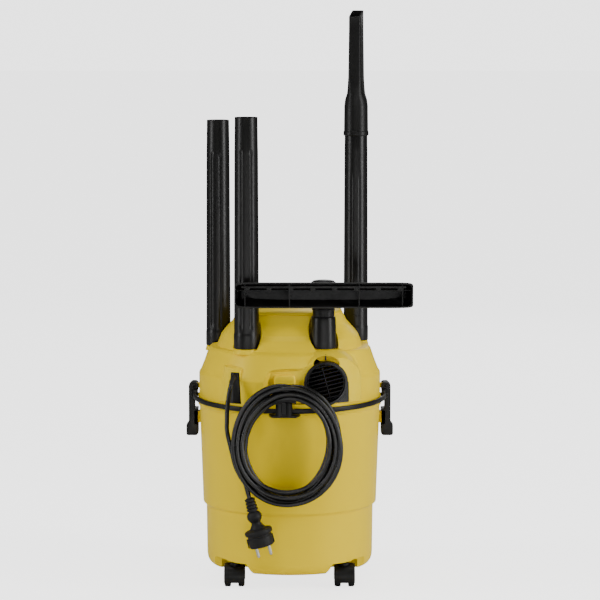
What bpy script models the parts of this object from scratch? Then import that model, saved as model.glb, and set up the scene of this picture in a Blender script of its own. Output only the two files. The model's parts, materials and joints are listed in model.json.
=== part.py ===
"""Small wet and dry drum vacuum cleaner on four casters, with its tools and its cord put away.

Metres, +Z up.  The origin is on the floor under the middle of the drum.  The back of the cleaner,
where the blower port and the cord are, faces -Y, and the hose inlet and the switch face +Y.
"""
import math

import bmesh
import bpy
import numpy as np
from mathutils import Euler, Matrix, Vector

GAP = 0.0003            # between pieces that touch
SLIP = 0.0004           # around a pin or a shaft that turns
BIG, MEDIUM, SMALL = 36, 18, 10     # sides of round pieces, by their size

# The two overall sizes.  Heights above the drum are measured from its rim, radii from the head's,
# and SPREAD moves what stands on the head and under the drum in and out with the head.
HEAD_R = 0.1397
DRUM_RIM_Z = 0.2805
SPREAD = HEAD_R / 0.1397

# drum
DRUM_BOTTOM = 0.025
DRUM_FOOT_R = HEAD_R - 0.0187
DRUM_LOW_R = HEAD_R - 0.0122
DRUM_STEP_Z = DRUM_BOTTOM + 0.093
DRUM_STEP_R = HEAD_R - 0.0092
DRUM_TOP_R = HEAD_R - 0.0002
DRUM_BEAD_R = HEAD_R + 0.0015
DRUM_BEAD_H = 0.008
DRUM_WALL = 0.0026
DRUM_LIP_R = HEAD_R - 0.0057
INLET_Z = DRUM_RIM_Z - 0.0755
INLET_R = 0.024
INLET_BORE_R = INLET_R - 0.0062
INLET_FLANGE_R = INLET_R + 0.009

# casters
CASTER_X = 0.084 * SPREAD
CASTER_Y = 0.086 * SPREAD
WHEEL_R = 0.0165
CASTER_TRAIL = 0.007
WHEEL_W = 0.0098
CASTER_W = 0.032
WHEEL_ROOM = 0.0008     # between a wheel and its hood
HOOD_WALL = 0.0024
STEM_R = 0.0042
STEM_LENGTH = 0.020
AXLE_R = 0.0028

# head
HEAD_LIP_Z = DRUM_RIM_Z + 0.0420
LEDGE_Z = DRUM_RIM_Z + 0.0840
HEAD_TOP_Z = DRUM_RIM_Z + 0.1395
HEAD_WALL = 0.0028
HEAD_SEGMENTS = 32
TRAY_WALL = 0.0026
SCREW_R = 0.0018
SCREW_CIRCLE = HEAD_R - 0.0187
SEAL_H = 0.0029
TRAY_TOP = DRUM_RIM_Z + SEAL_H + 0.0022

# tools put away on the head
TUBE_LENGTH = 0.350
TUBE_TOP_R = 0.0172
TUBE_FOOT_R = TUBE_TOP_R + 0.0023
TUBE_WALL = 0.0018
TUBE_1_AT = (-0.1110 * SPREAD, 0.0460 * SPREAD, LEDGE_Z - 0.0065)
TUBE_2_AT = (-0.0650 * SPREAD, -0.0860 * SPREAD, LEDGE_Z + 0.0038)
TUBE_3_AT = (0.1030 * SPREAD, 0.0600 * SPREAD, LEDGE_Z - 0.0005)
NOZZLE_AT = (0.0515 * SPREAD, -0.0860 * SPREAD, LEDGE_Z + 0.0043)
CUFF_LENGTH = 0.048
CUFF_R = TUBE_FOOT_R + 0.0003
NICHE_R = TUBE_FOOT_R + 0.0033
NICHE_DROP = 0.0012
PEG_R = TUBE_TOP_R - 0.0037
PEG_H = 0.026
CREVICE_LENGTH = 0.190
CREVICE_SOCKET = 0.052
CREVICE_SOCKET_R = TUBE_TOP_R + 0.0024
CREVICE_OVERLAP = 0.031
CREVICE_TURN = math.radians(-10)
BLADE_W = 0.0165
BLADE_D = 0.036
NOZZLE_W = 0.264
NOZZLE_H = 0.0385
NOZZLE_DEPTH = 0.029
NOZZLE_FACE_Y = NOZZLE_AT[1] - 0.0525
NOZZLE_Z = NOZZLE_AT[2] + 0.0852
NOZZLE_WALL = 0.0022

# bail handle and latches
PIVOT_Z = DRUM_RIM_Z + 0.0055
BAIL_R = HEAD_R + 0.0078
BAIL_T = 0.0040
BAIL_H = 0.0070
BAIL_REST = math.radians(2.3)
BAIL_ROOM = 0.0012      # inside the strap, for what it swings past
BAIL_FLATTEN = 0.97     # of its reach to the back, seen from above, at the end of its swing
PIVOT_R = 0.0030
EYE_R = PIVOT_R + 0.0040
EYE_IN = HEAD_R + 0.0021
LATCH_Y = (0.010, 0.040)
LATCH_HINGE = (HEAD_R + 0.0083, DRUM_RIM_Z + 0.0165)
LATCH_PIN_R = 0.0020
KNUCKLE_R = 0.0042
LATCH_TOP_Z = DRUM_RIM_Z + 0.0225
LATCH_FOOT_Z = DRUM_RIM_Z - 0.0605
LATCH_OUT = HEAD_R + 0.0169
LATCH_STEP_OUT = HEAD_R + 0.0208
LATCH_BAR = 0.0095
LUG_Z = (DRUM_RIM_Z - 0.0410, DRUM_RIM_Z - 0.0235)
LUG_OUT = HEAD_R + 0.0053

# blower port, gland, cord hook, switch
PORT_AT = (0.0553 * SPREAD, DRUM_RIM_Z + 0.0385)
PORT_R = 0.0330
PORT_BORE_R = PORT_R - 0.0038
PORT_FACE_Y = -HEAD_R + 0.0097
PORT_LENGTH = 0.034
GLAND_X = -0.0845 * SPREAD
GLAND_Z = DRUM_RIM_Z + 0.0325
GLAND_EXIT_Z = GLAND_Z + 0.0145
HOOK_X = -0.0080
HOOK_W = 0.037
PRONG_R = 0.0048
PRONG_Y = -HEAD_R - 0.0173
SWITCH_Z = DRUM_RIM_Z + 0.0325
SWITCH_SHAFT_R = 0.0045
SWITCH_REACH = 0.0140   # of the shaft's end inside the head's wall
KNOB_R = 0.0190
KNOB_H = 0.0140

# motor and filter
MOTOR_R = 0.046
MOTOR_Z = (DRUM_RIM_Z + 0.0185, DRUM_RIM_Z + 0.1015)
SHAFT_R = 0.0040
FAN_R = MOTOR_R - 0.005
FAN_Z = (MOTOR_Z[0] + 0.0030, MOTOR_Z[0] + 0.0130)
CAGE_R = 0.036
CAGE_Z = (DRUM_RIM_Z - 0.1025, DRUM_RIM_Z - 0.0165)
CAGE_WALL = 0.0025
FILTER_R = (CAGE_R + 0.0025, CAGE_R + 0.0185)
FLOAT_R = CAGE_R - 0.006

# cord
CORD_R = 0.0034
COIL_CENTRE = (-0.0040, -HEAD_R - 0.0243, DRUM_RIM_Z - 0.0490)
COIL_OUT = (0.0845, 0.0935)
COIL_BAND = 0.0235
COIL_DEPTH = 0.0200
PLUG_TOP = (-0.0600, COIL_CENTRE[1] - 0.0010, COIL_CENTRE[2] - 0.0793)
PLUG_TILT = math.radians(-15)
PIN_R = 0.0024
PIN_PITCH = 0.019


def start():
    """Remove what the file opened with, and make the two collections."""
    for thing in list(bpy.data.objects):
        bpy.data.objects.remove(thing, do_unlink=True)
    made = []
    for name in ("drum_vacuum", "cutters"):
        group = bpy.data.collections.new(name)
        bpy.context.scene.collection.children.link(group)
        made.append(group)
    return made


PARTS, CUTTERS = start()
MATERIALS = {}


def material(name, colour, roughness, metallic=0.0):
    """A Principled material, made once under each name."""
    if name not in MATERIALS:
        made = bpy.data.materials.new(name)
        made.use_nodes = True
        shader = made.node_tree.nodes["Principled BSDF"]
        shader.inputs["Base Color"].default_value = (*colour, 1.0)
        shader.inputs["Roughness"].default_value = roughness
        shader.inputs["Metallic"].default_value = metallic
        MATERIALS[name] = made
    return MATERIALS[name]


def yellow():
    return material("yellow_plastic", (0.96, 0.68, 0.0), 0.38)


def black():
    return material("black_plastic", (0.018, 0.018, 0.017), 0.45)


def rubber():
    return material("black_rubber", (0.02, 0.02, 0.02), 0.75)


def steel():
    return material("steel", (0.62, 0.62, 0.60), 0.3, 1.0)


def copper():
    return material("copper_winding", (0.55, 0.24, 0.10), 0.4, 1.0)


def paper():
    return material("filter_paper", (0.78, 0.74, 0.62), 0.9)


def place(obj, finish, at=(0, 0, 0), turn=(0, 0, 0), cutter=False):
    """Link an object where it belongs, with its material, place and turn."""
    group = CUTTERS if cutter else PARTS
    group.objects.link(obj)
    obj.location = at
    obj.rotation_euler = turn
    if cutter:
        obj.hide_render = True
        obj.display_type = "WIRE"
    elif finish is not None:
        obj.data.materials.append(finish)
    return obj


def smooth(obj, degrees=40):
    obj.data.shade_smooth()
    obj.data.set_sharp_from_angle(angle=math.radians(degrees))
    return obj


def from_bmesh(name, bm):
    mesh = bpy.data.meshes.new(name)
    bm.to_mesh(mesh)
    bm.free()
    return bpy.data.objects.new(name, mesh)


def box(name, low, high, finish=None, at=(0, 0, 0), turn=(0, 0, 0), bevel=0.0, cutter=False):
    """A box between two corners, its edges rounded by bevel."""
    low, high = np.array(low), np.array(high)
    bm = bmesh.new()
    bmesh.ops.create_cube(bm, size=1.0)
    bmesh.ops.scale(bm, vec=high - low, verts=bm.verts)
    bmesh.ops.translate(bm, vec=(high + low) / 2, verts=bm.verts)
    obj = place(from_bmesh(name, bm), finish, at, turn, cutter)
    if bevel:
        rounded(obj, bevel)
    return obj


def rounded(obj, width, segments=1, degrees=30):
    edge = obj.modifiers.new("rounded_edges", "BEVEL")
    edge.width = width
    edge.segments = segments
    edge.limit_method = "ANGLE"
    edge.angle_limit = math.radians(degrees)
    return obj


def rod(name, radius, low, high, finish=None, at=(0, 0, 0), turn=(0, 0, 0), sides=MEDIUM, cutter=False):
    """A cylinder along its own Z, from low to high."""
    bm = bmesh.new()
    bmesh.ops.create_cone(bm, cap_ends=True, segments=sides, radius1=radius, radius2=radius,
                          depth=high - low)
    bmesh.ops.translate(bm, vec=(0, 0, (high + low) / 2), verts=bm.verts)
    return place(from_bmesh(name, bm), finish, at, turn, cutter)


def hole(name, radius, low, high, at=(0, 0, 0), turn=(0, 0, 0), sides=20):
    """A cutter whose flats, not its corners, are at the radius, so a round piece fits it."""
    return rod(name, radius / math.cos(math.pi / sides), low, high, None, at, turn, sides, True)


def turned(name, profile, finish=None, at=(0, 0, 0), turn=(0, 0, 0), steps=BIG, ring=False,
           cutter=False):
    """A profile of (radius, height) points turned about Z: down the outer side, and up the inner."""
    mesh = bpy.data.meshes.new(name)
    points = [(radius, 0.0, height) for radius, height in profile]
    edges = [(i, i + 1) for i in range(len(points) - 1)]
    if ring:
        edges.append((len(points) - 1, 0))
    mesh.from_pydata(points, edges, [])
    obj = place(bpy.data.objects.new(name, mesh), finish, at, turn, cutter)
    screw = obj.modifiers.new("turned", "SCREW")
    screw.axis = "Z"
    screw.steps = steps
    screw.render_steps = steps
    screw.use_merge_vertices = True
    screw.merge_threshold = 0.00001
    screw.use_smooth_shade = False
    return obj


def outline(name, points, depth, finish=None, at=(0, 0, 0), turn=(0, 0, 0), cutter=False):
    """A flat closed outline in its own XY plane, given thickness depth along its Z."""
    curve = bpy.data.curves.new(name, "CURVE")
    curve.dimensions = "2D"
    curve.fill_mode = "BOTH"
    curve.extrude = depth / 2
    line = curve.splines.new("POLY")
    line.points.add(len(points) - 1)
    for spot, (x, y) in zip(line.points, points):
        spot.co = (x, y, 0, 1)
    line.use_cyclic_u = True
    return as_mesh(place(bpy.data.objects.new(name, curve), None, at, turn, cutter), finish, cutter)


def as_mesh(curve_object, finish, cutter=False):
    """The curve's own shape as a mesh object, in the curve's place."""
    bpy.context.view_layer.update()
    graph = bpy.context.evaluated_depsgraph_get()
    mesh = bpy.data.meshes.new_from_object(curve_object.evaluated_get(graph))
    bm = bmesh.new()
    bm.from_mesh(mesh)
    bmesh.ops.remove_doubles(bm, verts=bm.verts, dist=0.000001)
    bm.to_mesh(mesh)
    bm.free()
    name = curve_object.name
    placed = curve_object.matrix_world.copy()
    bpy.data.objects.remove(curve_object, do_unlink=True)
    mesh.materials.clear()
    obj = place(bpy.data.objects.new(name, mesh), finish, cutter=cutter)
    obj.matrix_world = placed
    return obj


def loft(name, rings, finish=None, at=(0, 0, 0), turn=(0, 0, 0), cutter=False):
    """A closed skin over a stack of rings, each with as many points, lowest ring first."""
    count = len(rings[0])
    points = [tuple(point) for ring in rings for point in ring]
    faces = []
    for level in range(len(rings) - 1):
        low, high = level * count, (level + 1) * count
        for i in range(count):
            j = (i + 1) % count
            faces.append((low + i, low + j, high + j, high + i))
    faces.append(tuple(reversed(range(count))))
    faces.append(tuple(range(len(points) - count, len(points))))
    mesh = bpy.data.meshes.new(name)
    mesh.from_pydata(points, [], faces)
    bm = bmesh.new()
    bm.from_mesh(mesh)
    bmesh.ops.triangulate(bm, faces=[face for face in bm.faces if len(face.verts) == 4])
    bm.to_mesh(mesh)
    bm.free()
    return place(bpy.data.objects.new(name, mesh), finish, at, turn, cutter)


def superellipse(half_x, half_y, power, z, count=HEAD_SEGMENTS, centre=(0.0, 0.0)):
    """A ring of points: a circle or ellipse at power 2, squarer above it."""
    angle = np.arange(count) * 2 * math.pi / count
    cos, sin = np.cos(angle), np.sin(angle)
    x = centre[0] + half_x * np.sign(cos) * np.abs(cos) ** (2 / power)
    y = centre[1] + half_y * np.sign(sin) * np.abs(sin) ** (2 / power)
    return [(float(a), float(b), z) for a, b in zip(x, y)]


def combine(obj, other, operation):
    change = obj.modifiers.new(operation.lower(), "BOOLEAN")
    change.operation = operation
    change.object = other
    change.solver = "EXACT"
    return obj


def cut(obj, *cutters):
    for cutter in cutters:
        combine(obj, cutter, "DIFFERENCE")
    return obj


def join(obj, *others):
    for other in others:
        combine(obj, other, "UNION")
    return obj


def tube_along(name, points, radius, finish, sides=2):
    """A round cord along a list of points, its ends capped."""
    curve = bpy.data.curves.new(name, "CURVE")
    curve.dimensions = "3D"
    curve.bevel_depth = radius
    curve.bevel_resolution = sides
    curve.use_fill_caps = True
    line = curve.splines.new("POLY")
    line.points.add(len(points) - 1)
    for spot, point in zip(line.points, points):
        spot.co = (*point, 1)
    curve.materials.append(finish)
    obj = bpy.data.objects.new(name, curve)
    PARTS.objects.link(obj)
    return obj


def smooth_route(points, spacing):
    """Points at an even spacing on a smooth curve through the given points."""
    knots = np.array(points, dtype=float)
    ends = np.vstack([2 * knots[0] - knots[1], knots, 2 * knots[-1] - knots[-2]])
    fine = []
    for i in range(1, len(ends) - 2):
        before, here, there, after = ends[i - 1], ends[i], ends[i + 1], ends[i + 2]
        t = np.linspace(0, 1, 40, endpoint=False)[:, None]
        fine.append(0.5 * (2 * here + (there - before) * t
                           + (2 * before - 5 * here + 4 * there - after) * t ** 2
                           + (3 * here - before - 3 * there + after) * t ** 3))
    fine.append(knots[-1][None, :])
    fine = np.vstack(fine)
    along = np.concatenate([[0], np.cumsum(np.linalg.norm(np.diff(fine, axis=0), axis=1))])
    count = max(4, int(round(along[-1] / spacing)))
    wanted = np.linspace(0, along[-1], count + 1)
    return np.stack([np.interp(wanted, along, fine[:, k]) for k in range(3)], axis=1)


def caster_places():
    """Name, place and outward sign of each caster."""
    for end, sign_y in (("rear", -1), ("front", 1)):
        for side, sign_x in (("left", -1), ("right", 1)):
            yield f"{end}_{side}", (sign_x * CASTER_X, sign_y * CASTER_Y)


def head_levels():
    """(height, half width in X, half width in Y, squareness) up the outside of the head."""
    bottom = DRUM_RIM_Z + 0.0005
    r = HEAD_R
    return [
        (bottom, r + 0.0015, r + 0.0015, 2.0),
        (bottom + 0.006, r + 0.0015, r + 0.0015, 2.0),
        (bottom + 0.0075, r, r, 2.0),
        (HEAD_LIP_Z, r, r, 2.0),
        (HEAD_LIP_Z + 0.0035, r - 0.0027, r - 0.0027, 2.0),
        (LEDGE_Z - 0.024, r - 0.0085, r - 0.0085, 2.0),
        (LEDGE_Z - 0.005, r - 0.0150, r - 0.0130, 2.05),
        (LEDGE_Z - 0.0015, r - 0.0185, r - 0.0165, 2.1),
        (LEDGE_Z, r - 0.0280, r - 0.0370, 2.3),
        (LEDGE_Z + 0.0155, r - 0.0340, r - 0.0440, 2.6),
        (LEDGE_Z + 0.0230, r - 0.0390, r - 0.0480, 2.7),
        (LEDGE_Z + 0.0365, r - 0.0520, r - 0.0560, 2.8),
        (HEAD_TOP_Z - 0.004, r - 0.0590, r - 0.0670, 2.8),
        (HEAD_TOP_Z, r - 0.0640, r - 0.0720, 2.8),
    ]


def accessory_places():
    return (("tube_1", TUBE_1_AT), ("tube_2", TUBE_2_AT), ("tube_3", TUBE_3_AT), ("nozzle", NOZZLE_AT))


# drum -------------------------------------------------------------------------------------------
def drum_profile(inset):
    """The drum's side from its rim down to the floor's edge, moved in by inset."""
    return [
        (DRUM_TOP_R - inset, DRUM_RIM_Z),
        (DRUM_TOP_R - inset, DRUM_RIM_Z - DRUM_BEAD_H - 0.004),
        (DRUM_STEP_R + 0.0012 - inset, DRUM_STEP_Z + 0.003),
        (DRUM_STEP_R - inset, DRUM_STEP_Z),
        (DRUM_LOW_R - inset, DRUM_BOTTOM + 0.016),
        (DRUM_LOW_R - 0.0020 - inset, DRUM_BOTTOM + 0.006),
        (DRUM_FOOT_R - inset, DRUM_BOTTOM + inset),
    ]


def drum():
    side = drum_profile(0.0)
    side[0] = (DRUM_BEAD_R, DRUM_RIM_Z)
    side[1] = (DRUM_BEAD_R, DRUM_RIM_Z - DRUM_BEAD_H)
    side.insert(2, (DRUM_TOP_R, DRUM_RIM_Z - DRUM_BEAD_H - 0.004))
    shape = turned("drum", [(0.0, DRUM_RIM_Z)] + side + [(0.0, DRUM_BOTTOM)], yellow(), steps=BIG)
    hollow_side = drum_profile(DRUM_WALL)
    hollow_side[0] = (DRUM_LIP_R, DRUM_RIM_Z + 0.01)
    hollow_side[1] = (DRUM_LIP_R, DRUM_RIM_Z - DRUM_BEAD_H)
    hollow_side.insert(2, (DRUM_TOP_R - DRUM_WALL, DRUM_RIM_Z - DRUM_BEAD_H - 0.006))
    hollow = turned("drum_hollow", [(0.0, DRUM_RIM_Z + 0.01)] + hollow_side
                    + [(0.0, DRUM_BOTTOM + DRUM_WALL)], steps=BIG, cutter=True)
    lugs = [drum_lug(side_name, sign) for side_name, sign in (("left", -1), ("right", 1))]
    join(shape, *lugs)
    pockets = []
    for name, at in caster_places():
        keep, pocket, socket = caster_pocket(name, at)
        cut(hollow, keep)
        pockets += [pocket, socket]
    bore = hole("inlet_hole", INLET_R + GAP, HEAD_R - 0.04, HEAD_R + 0.02, at=(0, 0, INLET_Z),
                turn=(-math.pi / 2, 0, 0))
    cut(shape, hollow, bore, *pockets)
    return smooth(shape, 30)


def drum_lug(side_name, sign):
    """The catch on the drum that a latch's foot hooks under."""
    middle = sum(LATCH_Y) / 2
    near, far = sorted((sign * (DRUM_TOP_R - 0.006), sign * LUG_OUT))
    return box(f"lug_{side_name}", (near, middle - 0.011, LUG_Z[0]), (far, middle + 0.011, LUG_Z[1]),
               cutter=True)


def caster_top():
    """Height of the hood's top, which the pocket's ceiling clears."""
    return 2 * WHEEL_R + WHEEL_ROOM + HOOD_WALL + 0.0005


def caster_pocket(name, at):
    """The solid kept around a pocket, the pocket itself, and the blind socket for the stem."""
    ceiling = caster_top() + 0.0035
    sweep = CASTER_TRAIL + WHEEL_R + HOOD_WALL + 0.0045
    keep = rod(f"keep_{name}", sweep + DRUM_WALL, 0.0, ceiling + DRUM_WALL, at=(*at, 0), sides=MEDIUM,
               cutter=True)
    boss = rod(f"boss_{name}", STEM_R + 0.004, ceiling, ceiling + STEM_LENGTH + 0.003, at=(*at, 0),
               cutter=True)
    join(keep, boss)
    pocket = rod(f"pocket_{name}", sweep, 0.0, ceiling, at=(*at, 0), sides=MEDIUM, cutter=True)
    socket = hole(f"socket_{name}", STEM_R + SLIP, ceiling - 0.002, ceiling + STEM_LENGTH,
                  at=(*at, 0), sides=SMALL)
    return keep, pocket, socket


def hose_inlet():
    """Flanged socket in the drum's front, which the hose is pushed into."""
    wall_y = DRUM_TOP_R - 0.0015
    profile = [
        (INLET_BORE_R, 0.022), (INLET_R - 0.002, 0.022), (INLET_R + 0.001, 0.019),
        (INLET_R + 0.001, 0.009), (INLET_FLANGE_R, 0.007), (INLET_FLANGE_R, 0.0035),
        (INLET_R, 0.0035), (INLET_R, -0.020), (INLET_BORE_R, -0.020),
    ]
    return smooth(turned("hose_inlet", profile, black(), at=(0, wall_y, INLET_Z),
                         turn=(-math.pi / 2, 0, 0), steps=MEDIUM, ring=True))


# casters ----------------------------------------------------------------------------------------
def casters():
    for name, at in caster_places():
        away = 1 if at[1] < 0 else -1
        axle = (at[0], at[1] + away * CASTER_TRAIL, WHEEL_R)
        caster_hood(name, at, axle)
        caster_wheels(name, axle)


def caster_hood(name, at, axle):
    """The hood over both wheels with its stem, its origin on the swivel's axis."""
    back = axle[1] - at[1]
    radius = WHEEL_R + WHEEL_ROOM + HOOD_WALL
    hood = rod(f"caster_hood_{name}", radius, -CASTER_W / 2, CASTER_W / 2, black(), at=(*at, 0),
               sides=MEDIUM)
    hood.data.transform(lie_along_x())
    hood.data.transform(moved(0, back, WHEEL_R))
    lower = box(f"under_hood_{name}", (-0.03, -0.04, -0.03), (0.03, 0.04, WHEEL_R - 0.008),
                at=(*at, 0), cutter=True)
    web = (CASTER_W - 2 * WHEEL_W) / 2 - WHEEL_ROOM
    stem = rod(f"stem_{name}", STEM_R, WHEEL_R + AXLE_R + 0.003, caster_top() + 0.003 + STEM_LENGTH, at=(*at, 0),
               cutter=True, sides=SMALL)
    collar = rod(f"collar_{name}", STEM_R + 0.003, 2 * WHEEL_R + 0.0014, caster_top() + 0.0022, at=(*at, 0),
                 cutter=True, sides=SMALL)
    wells = []
    for side, sign in (("a", -1), ("b", 1)):
        near, far = sorted((sign * web, sign * 0.03))
        well = rod(f"well_{name}_{side}", WHEEL_R + WHEEL_ROOM, near, far, at=(*at, 0), sides=MEDIUM,
                   cutter=True)
        well.data.transform(lie_along_x())
        well.data.transform(moved(0, back, WHEEL_R))
        wells.append(well)
    axle_hole = hole(f"axle_hole_{name}", AXLE_R + SLIP, -0.03, 0.03, at=(*at, 0), sides=SMALL)
    axle_hole.data.transform(lie_along_x())
    axle_hole.data.transform(moved(0, back, WHEEL_R))
    cut(hood, lower, *wells)
    join(hood, collar, stem)
    cut(hood, axle_hole)
    return smooth(hood)


def lie_along_x():
    return Matrix.Rotation(math.pi / 2, 4, "Y")


def moved(x, y, z):
    return Matrix.Translation((x, y, z))


def caster_wheels(name, axle):
    """Twin wheels on their axle, turned about the axle."""
    out = CASTER_W / 2 - 0.0006
    inner = out - WHEEL_W
    half = [(0.0, out), (WHEEL_R - 0.0015, out), (WHEEL_R, out - 0.0015), (WHEEL_R, inner),
            (AXLE_R, inner)]
    profile = half + [(radius, -height) for radius, height in reversed(half)]
    return smooth(turned(f"caster_wheels_{name}", profile, rubber(), at=axle,
                         turn=(0, math.pi / 2, 0), steps=MEDIUM))


# head -------------------------------------------------------------------------------------------
def head_cover():
    levels = head_levels()
    rings = [superellipse(a, b, power, z) for z, a, b, power in levels]
    cover = loft("head_cover", rings, yellow())
    inner = []
    for z, a, b, power in levels:
        raised = z > HEAD_LIP_Z + 0.001
        inner.append((z - HEAD_WALL if raised else z, a - HEAD_WALL, b - HEAD_WALL, power))
    inner[0] = (levels[0][0] - 0.005, HEAD_R - HEAD_WALL + 0.0013, HEAD_R - HEAD_WALL + 0.0013, 2.0)
    hollow = loft("head_hollow", [superellipse(a, b, power, z) for z, a, b, power in inner],
                  cutter=True)
    niches, pegs = [], []
    for name, (x, y, z) in accessory_places():
        floor = z - GAP
        cut(hollow, rod(f"keep_niche_{name}", NICHE_R + HEAD_WALL, floor - NICHE_DROP - HEAD_WALL,
                        HEAD_TOP_Z + 0.02, at=(x, y, 0), sides=MEDIUM, cutter=True))
        niches.append(rod(f"niche_{name}", NICHE_R, floor - NICHE_DROP, HEAD_TOP_Z + 0.02, at=(x, y, 0), sides=MEDIUM,
                          cutter=True))
        peg_profile = [(0.0, floor + PEG_H), (PEG_R - 0.003, floor + PEG_H),
                       (PEG_R, floor + PEG_H - 0.006), (PEG_R, floor), (TUBE_FOOT_R - 0.001, floor),
                       (TUBE_FOOT_R + 0.001, floor - 0.008), (0.0, floor - 0.008)]
        pegs.append(turned(f"peg_{name}", peg_profile, at=(x, y, 0), steps=MEDIUM, cutter=True))
    cut(hollow, *bosses_inside())
    cut(cover, hollow, *niches)
    join(cover, *pegs)
    join(cover, *latch_knuckles(), switch_pad())
    cut(cover, port_hole(), gland_hole(), switch_hole(), *pivot_holes(), *knuckle_holes())
    return smooth(cover, 30)


def screw_places():
    """The three screws that hold the tray to the cover, around the head."""
    for i, angle in enumerate((math.radians(90 + 25), math.radians(210), math.radians(330 - 15))):
        yield i + 1, (SCREW_CIRCLE * math.cos(angle), SCREW_CIRCLE * math.sin(angle))


def bosses_inside():
    """Screw posts left standing inside the cover, joined to its shoulder."""
    kept = []
    for number, at in screw_places():
        kept.append(rod(f"post_{number}", 0.0055, TRAY_TOP + GAP, HEAD_TOP_Z + 0.08, at=(*at, 0), sides=SMALL,
                        cutter=True))
    return kept


def port_hole():
    return hole("port_hole", PORT_R + GAP, HEAD_R - 0.06, HEAD_R + 0.02, at=(PORT_AT[0], 0, PORT_AT[1]),
                turn=(math.pi / 2, 0, 0), sides=28)


def wall_y(x):
    """Distance of the head's round wall from the middle plane, at a place across the head."""
    return math.sqrt(HEAD_R ** 2 - x ** 2)


def gland_outline(extra=0.0):
    """The gland's wedge in (x, z) from its middle: narrow at the top and wide at the foot."""
    return [(-0.0070 - extra, -0.0255 - extra), (0.0115 + extra, -0.0255 - extra),
            (0.0085 + extra, 0.0215 + extra), (-0.0035 - extra, 0.0215 + extra)]


def gland_middle():
    return GLAND_X, -wall_y(GLAND_X), GLAND_Z


def gland_hole():
    x, y, z = gland_middle()
    return outline("gland_hole", gland_outline(GAP), 0.040, at=(x, y, z),
                   turn=(math.pi / 2, 0, 0), cutter=True)


def switch_pad():
    return rod("switch_pad", KNOB_R + 0.004, HEAD_R - 0.012, HEAD_R + 0.0010, at=(0, 0, SWITCH_Z),
               turn=(-math.pi / 2, 0, 0), sides=MEDIUM, cutter=True)


def switch_hole():
    return hole("switch_hole", SWITCH_SHAFT_R + SLIP, HEAD_R - 0.04, HEAD_R + 0.06, at=(0, 0, SWITCH_Z),
                turn=(-math.pi / 2, 0, 0), sides=SMALL)


def pivot_holes():
    return [hole(f"pivot_hole_{side}", PIVOT_R + GAP, HEAD_R - 0.02, HEAD_R + 0.02, at=(0, 0, PIVOT_Z),
                 turn=(0, sign * math.pi / 2, 0), sides=SMALL)
            for side, sign in (("left", -1), ("right", 1))]


def latch_knuckles():
    """The lug in the middle of each latch that its hinge pin goes through."""
    middle = sum(LATCH_Y) / 2
    made = []
    for side, sign in (("left", -1), ("right", 1)):
        near, far = sorted((sign * (HEAD_R - 0.005), sign * LATCH_HINGE[0]))
        arm = box(f"knuckle_{side}", (near, middle - 0.004, LATCH_HINGE[1] - 0.0038),
                  (far, middle + 0.004, LATCH_HINGE[1] + 0.0038), cutter=True)
        end = rod(f"knuckle_end_{side}", KNUCKLE_R, -0.0039, 0.0039,
                  at=(sign * LATCH_HINGE[0], middle, LATCH_HINGE[1]), turn=(math.pi / 2, 0, 0),
                  cutter=True)
        made += [arm, end]
    return made


def knuckle_holes():
    return [hole(f"knuckle_hole_{side}", LATCH_PIN_R + SLIP, 0.0, 0.06,
                 at=(sign * LATCH_HINGE[0], 0, LATCH_HINGE[1]), turn=(-math.pi / 2, 0, 0),
                 sides=SMALL) for side, sign in (("left", -1), ("right", 1))]


def seal_ring():
    low = DRUM_RIM_Z + GAP
    profile = [(DRUM_LIP_R + 0.0003, low + SEAL_H - 2 * GAP), (HEAD_R - HEAD_WALL - GAP, low + SEAL_H - 2 * GAP),
               (HEAD_R - HEAD_WALL - GAP, low), (DRUM_LIP_R + 0.0003, low)]
    return turned("seal_ring", profile, rubber(), steps=BIG, ring=True)


def motor_tray():
    """The tray that closes the drum and carries the motor and the filter."""
    top = TRAY_TOP
    flange = HEAD_R - HEAD_WALL - 0.0008
    plug_r = DRUM_LIP_R - 0.0008
    opening = CAGE_R - 0.008
    profile = [
        (opening, top), (flange, top), (flange, DRUM_RIM_Z + SEAL_H), (plug_r, DRUM_RIM_Z + SEAL_H),
        (plug_r, DRUM_RIM_Z - 0.014), (plug_r - TRAY_WALL, DRUM_RIM_Z - 0.014),
        (plug_r - TRAY_WALL, top - TRAY_WALL), (CAGE_R + 0.004, top - TRAY_WALL),
        (CAGE_R + 0.004, CAGE_Z[1] + GAP), (opening, CAGE_Z[1] + GAP),
    ]
    tray = turned("motor_tray", profile, black(), steps=BIG, ring=True)
    holes = [hole(f"tray_hole_{number}", SCREW_R + GAP, DRUM_RIM_Z - 0.02, DRUM_RIM_Z + 0.02,
                  at=(*at, 0), sides=8)
             for number, at in screw_places()]
    return smooth(cut(tray, *holes))


def tray_screws():
    """Screws from under the tray up into the cover's posts: here up to the post's foot."""
    for number, at in screw_places():
        under = TRAY_TOP - TRAY_WALL - GAP
        profile = [(0.0, TRAY_TOP - GAP), (SCREW_R, TRAY_TOP - GAP), (SCREW_R, under), (0.0038, under),
                   (0.0038, under - 0.0015), (0.0026, under - 0.0026), (0.0, under - 0.0026)]
        smooth(turned(f"tray_screw_{number}", profile, steel(), at=(*at, 0), steps=8))


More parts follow.
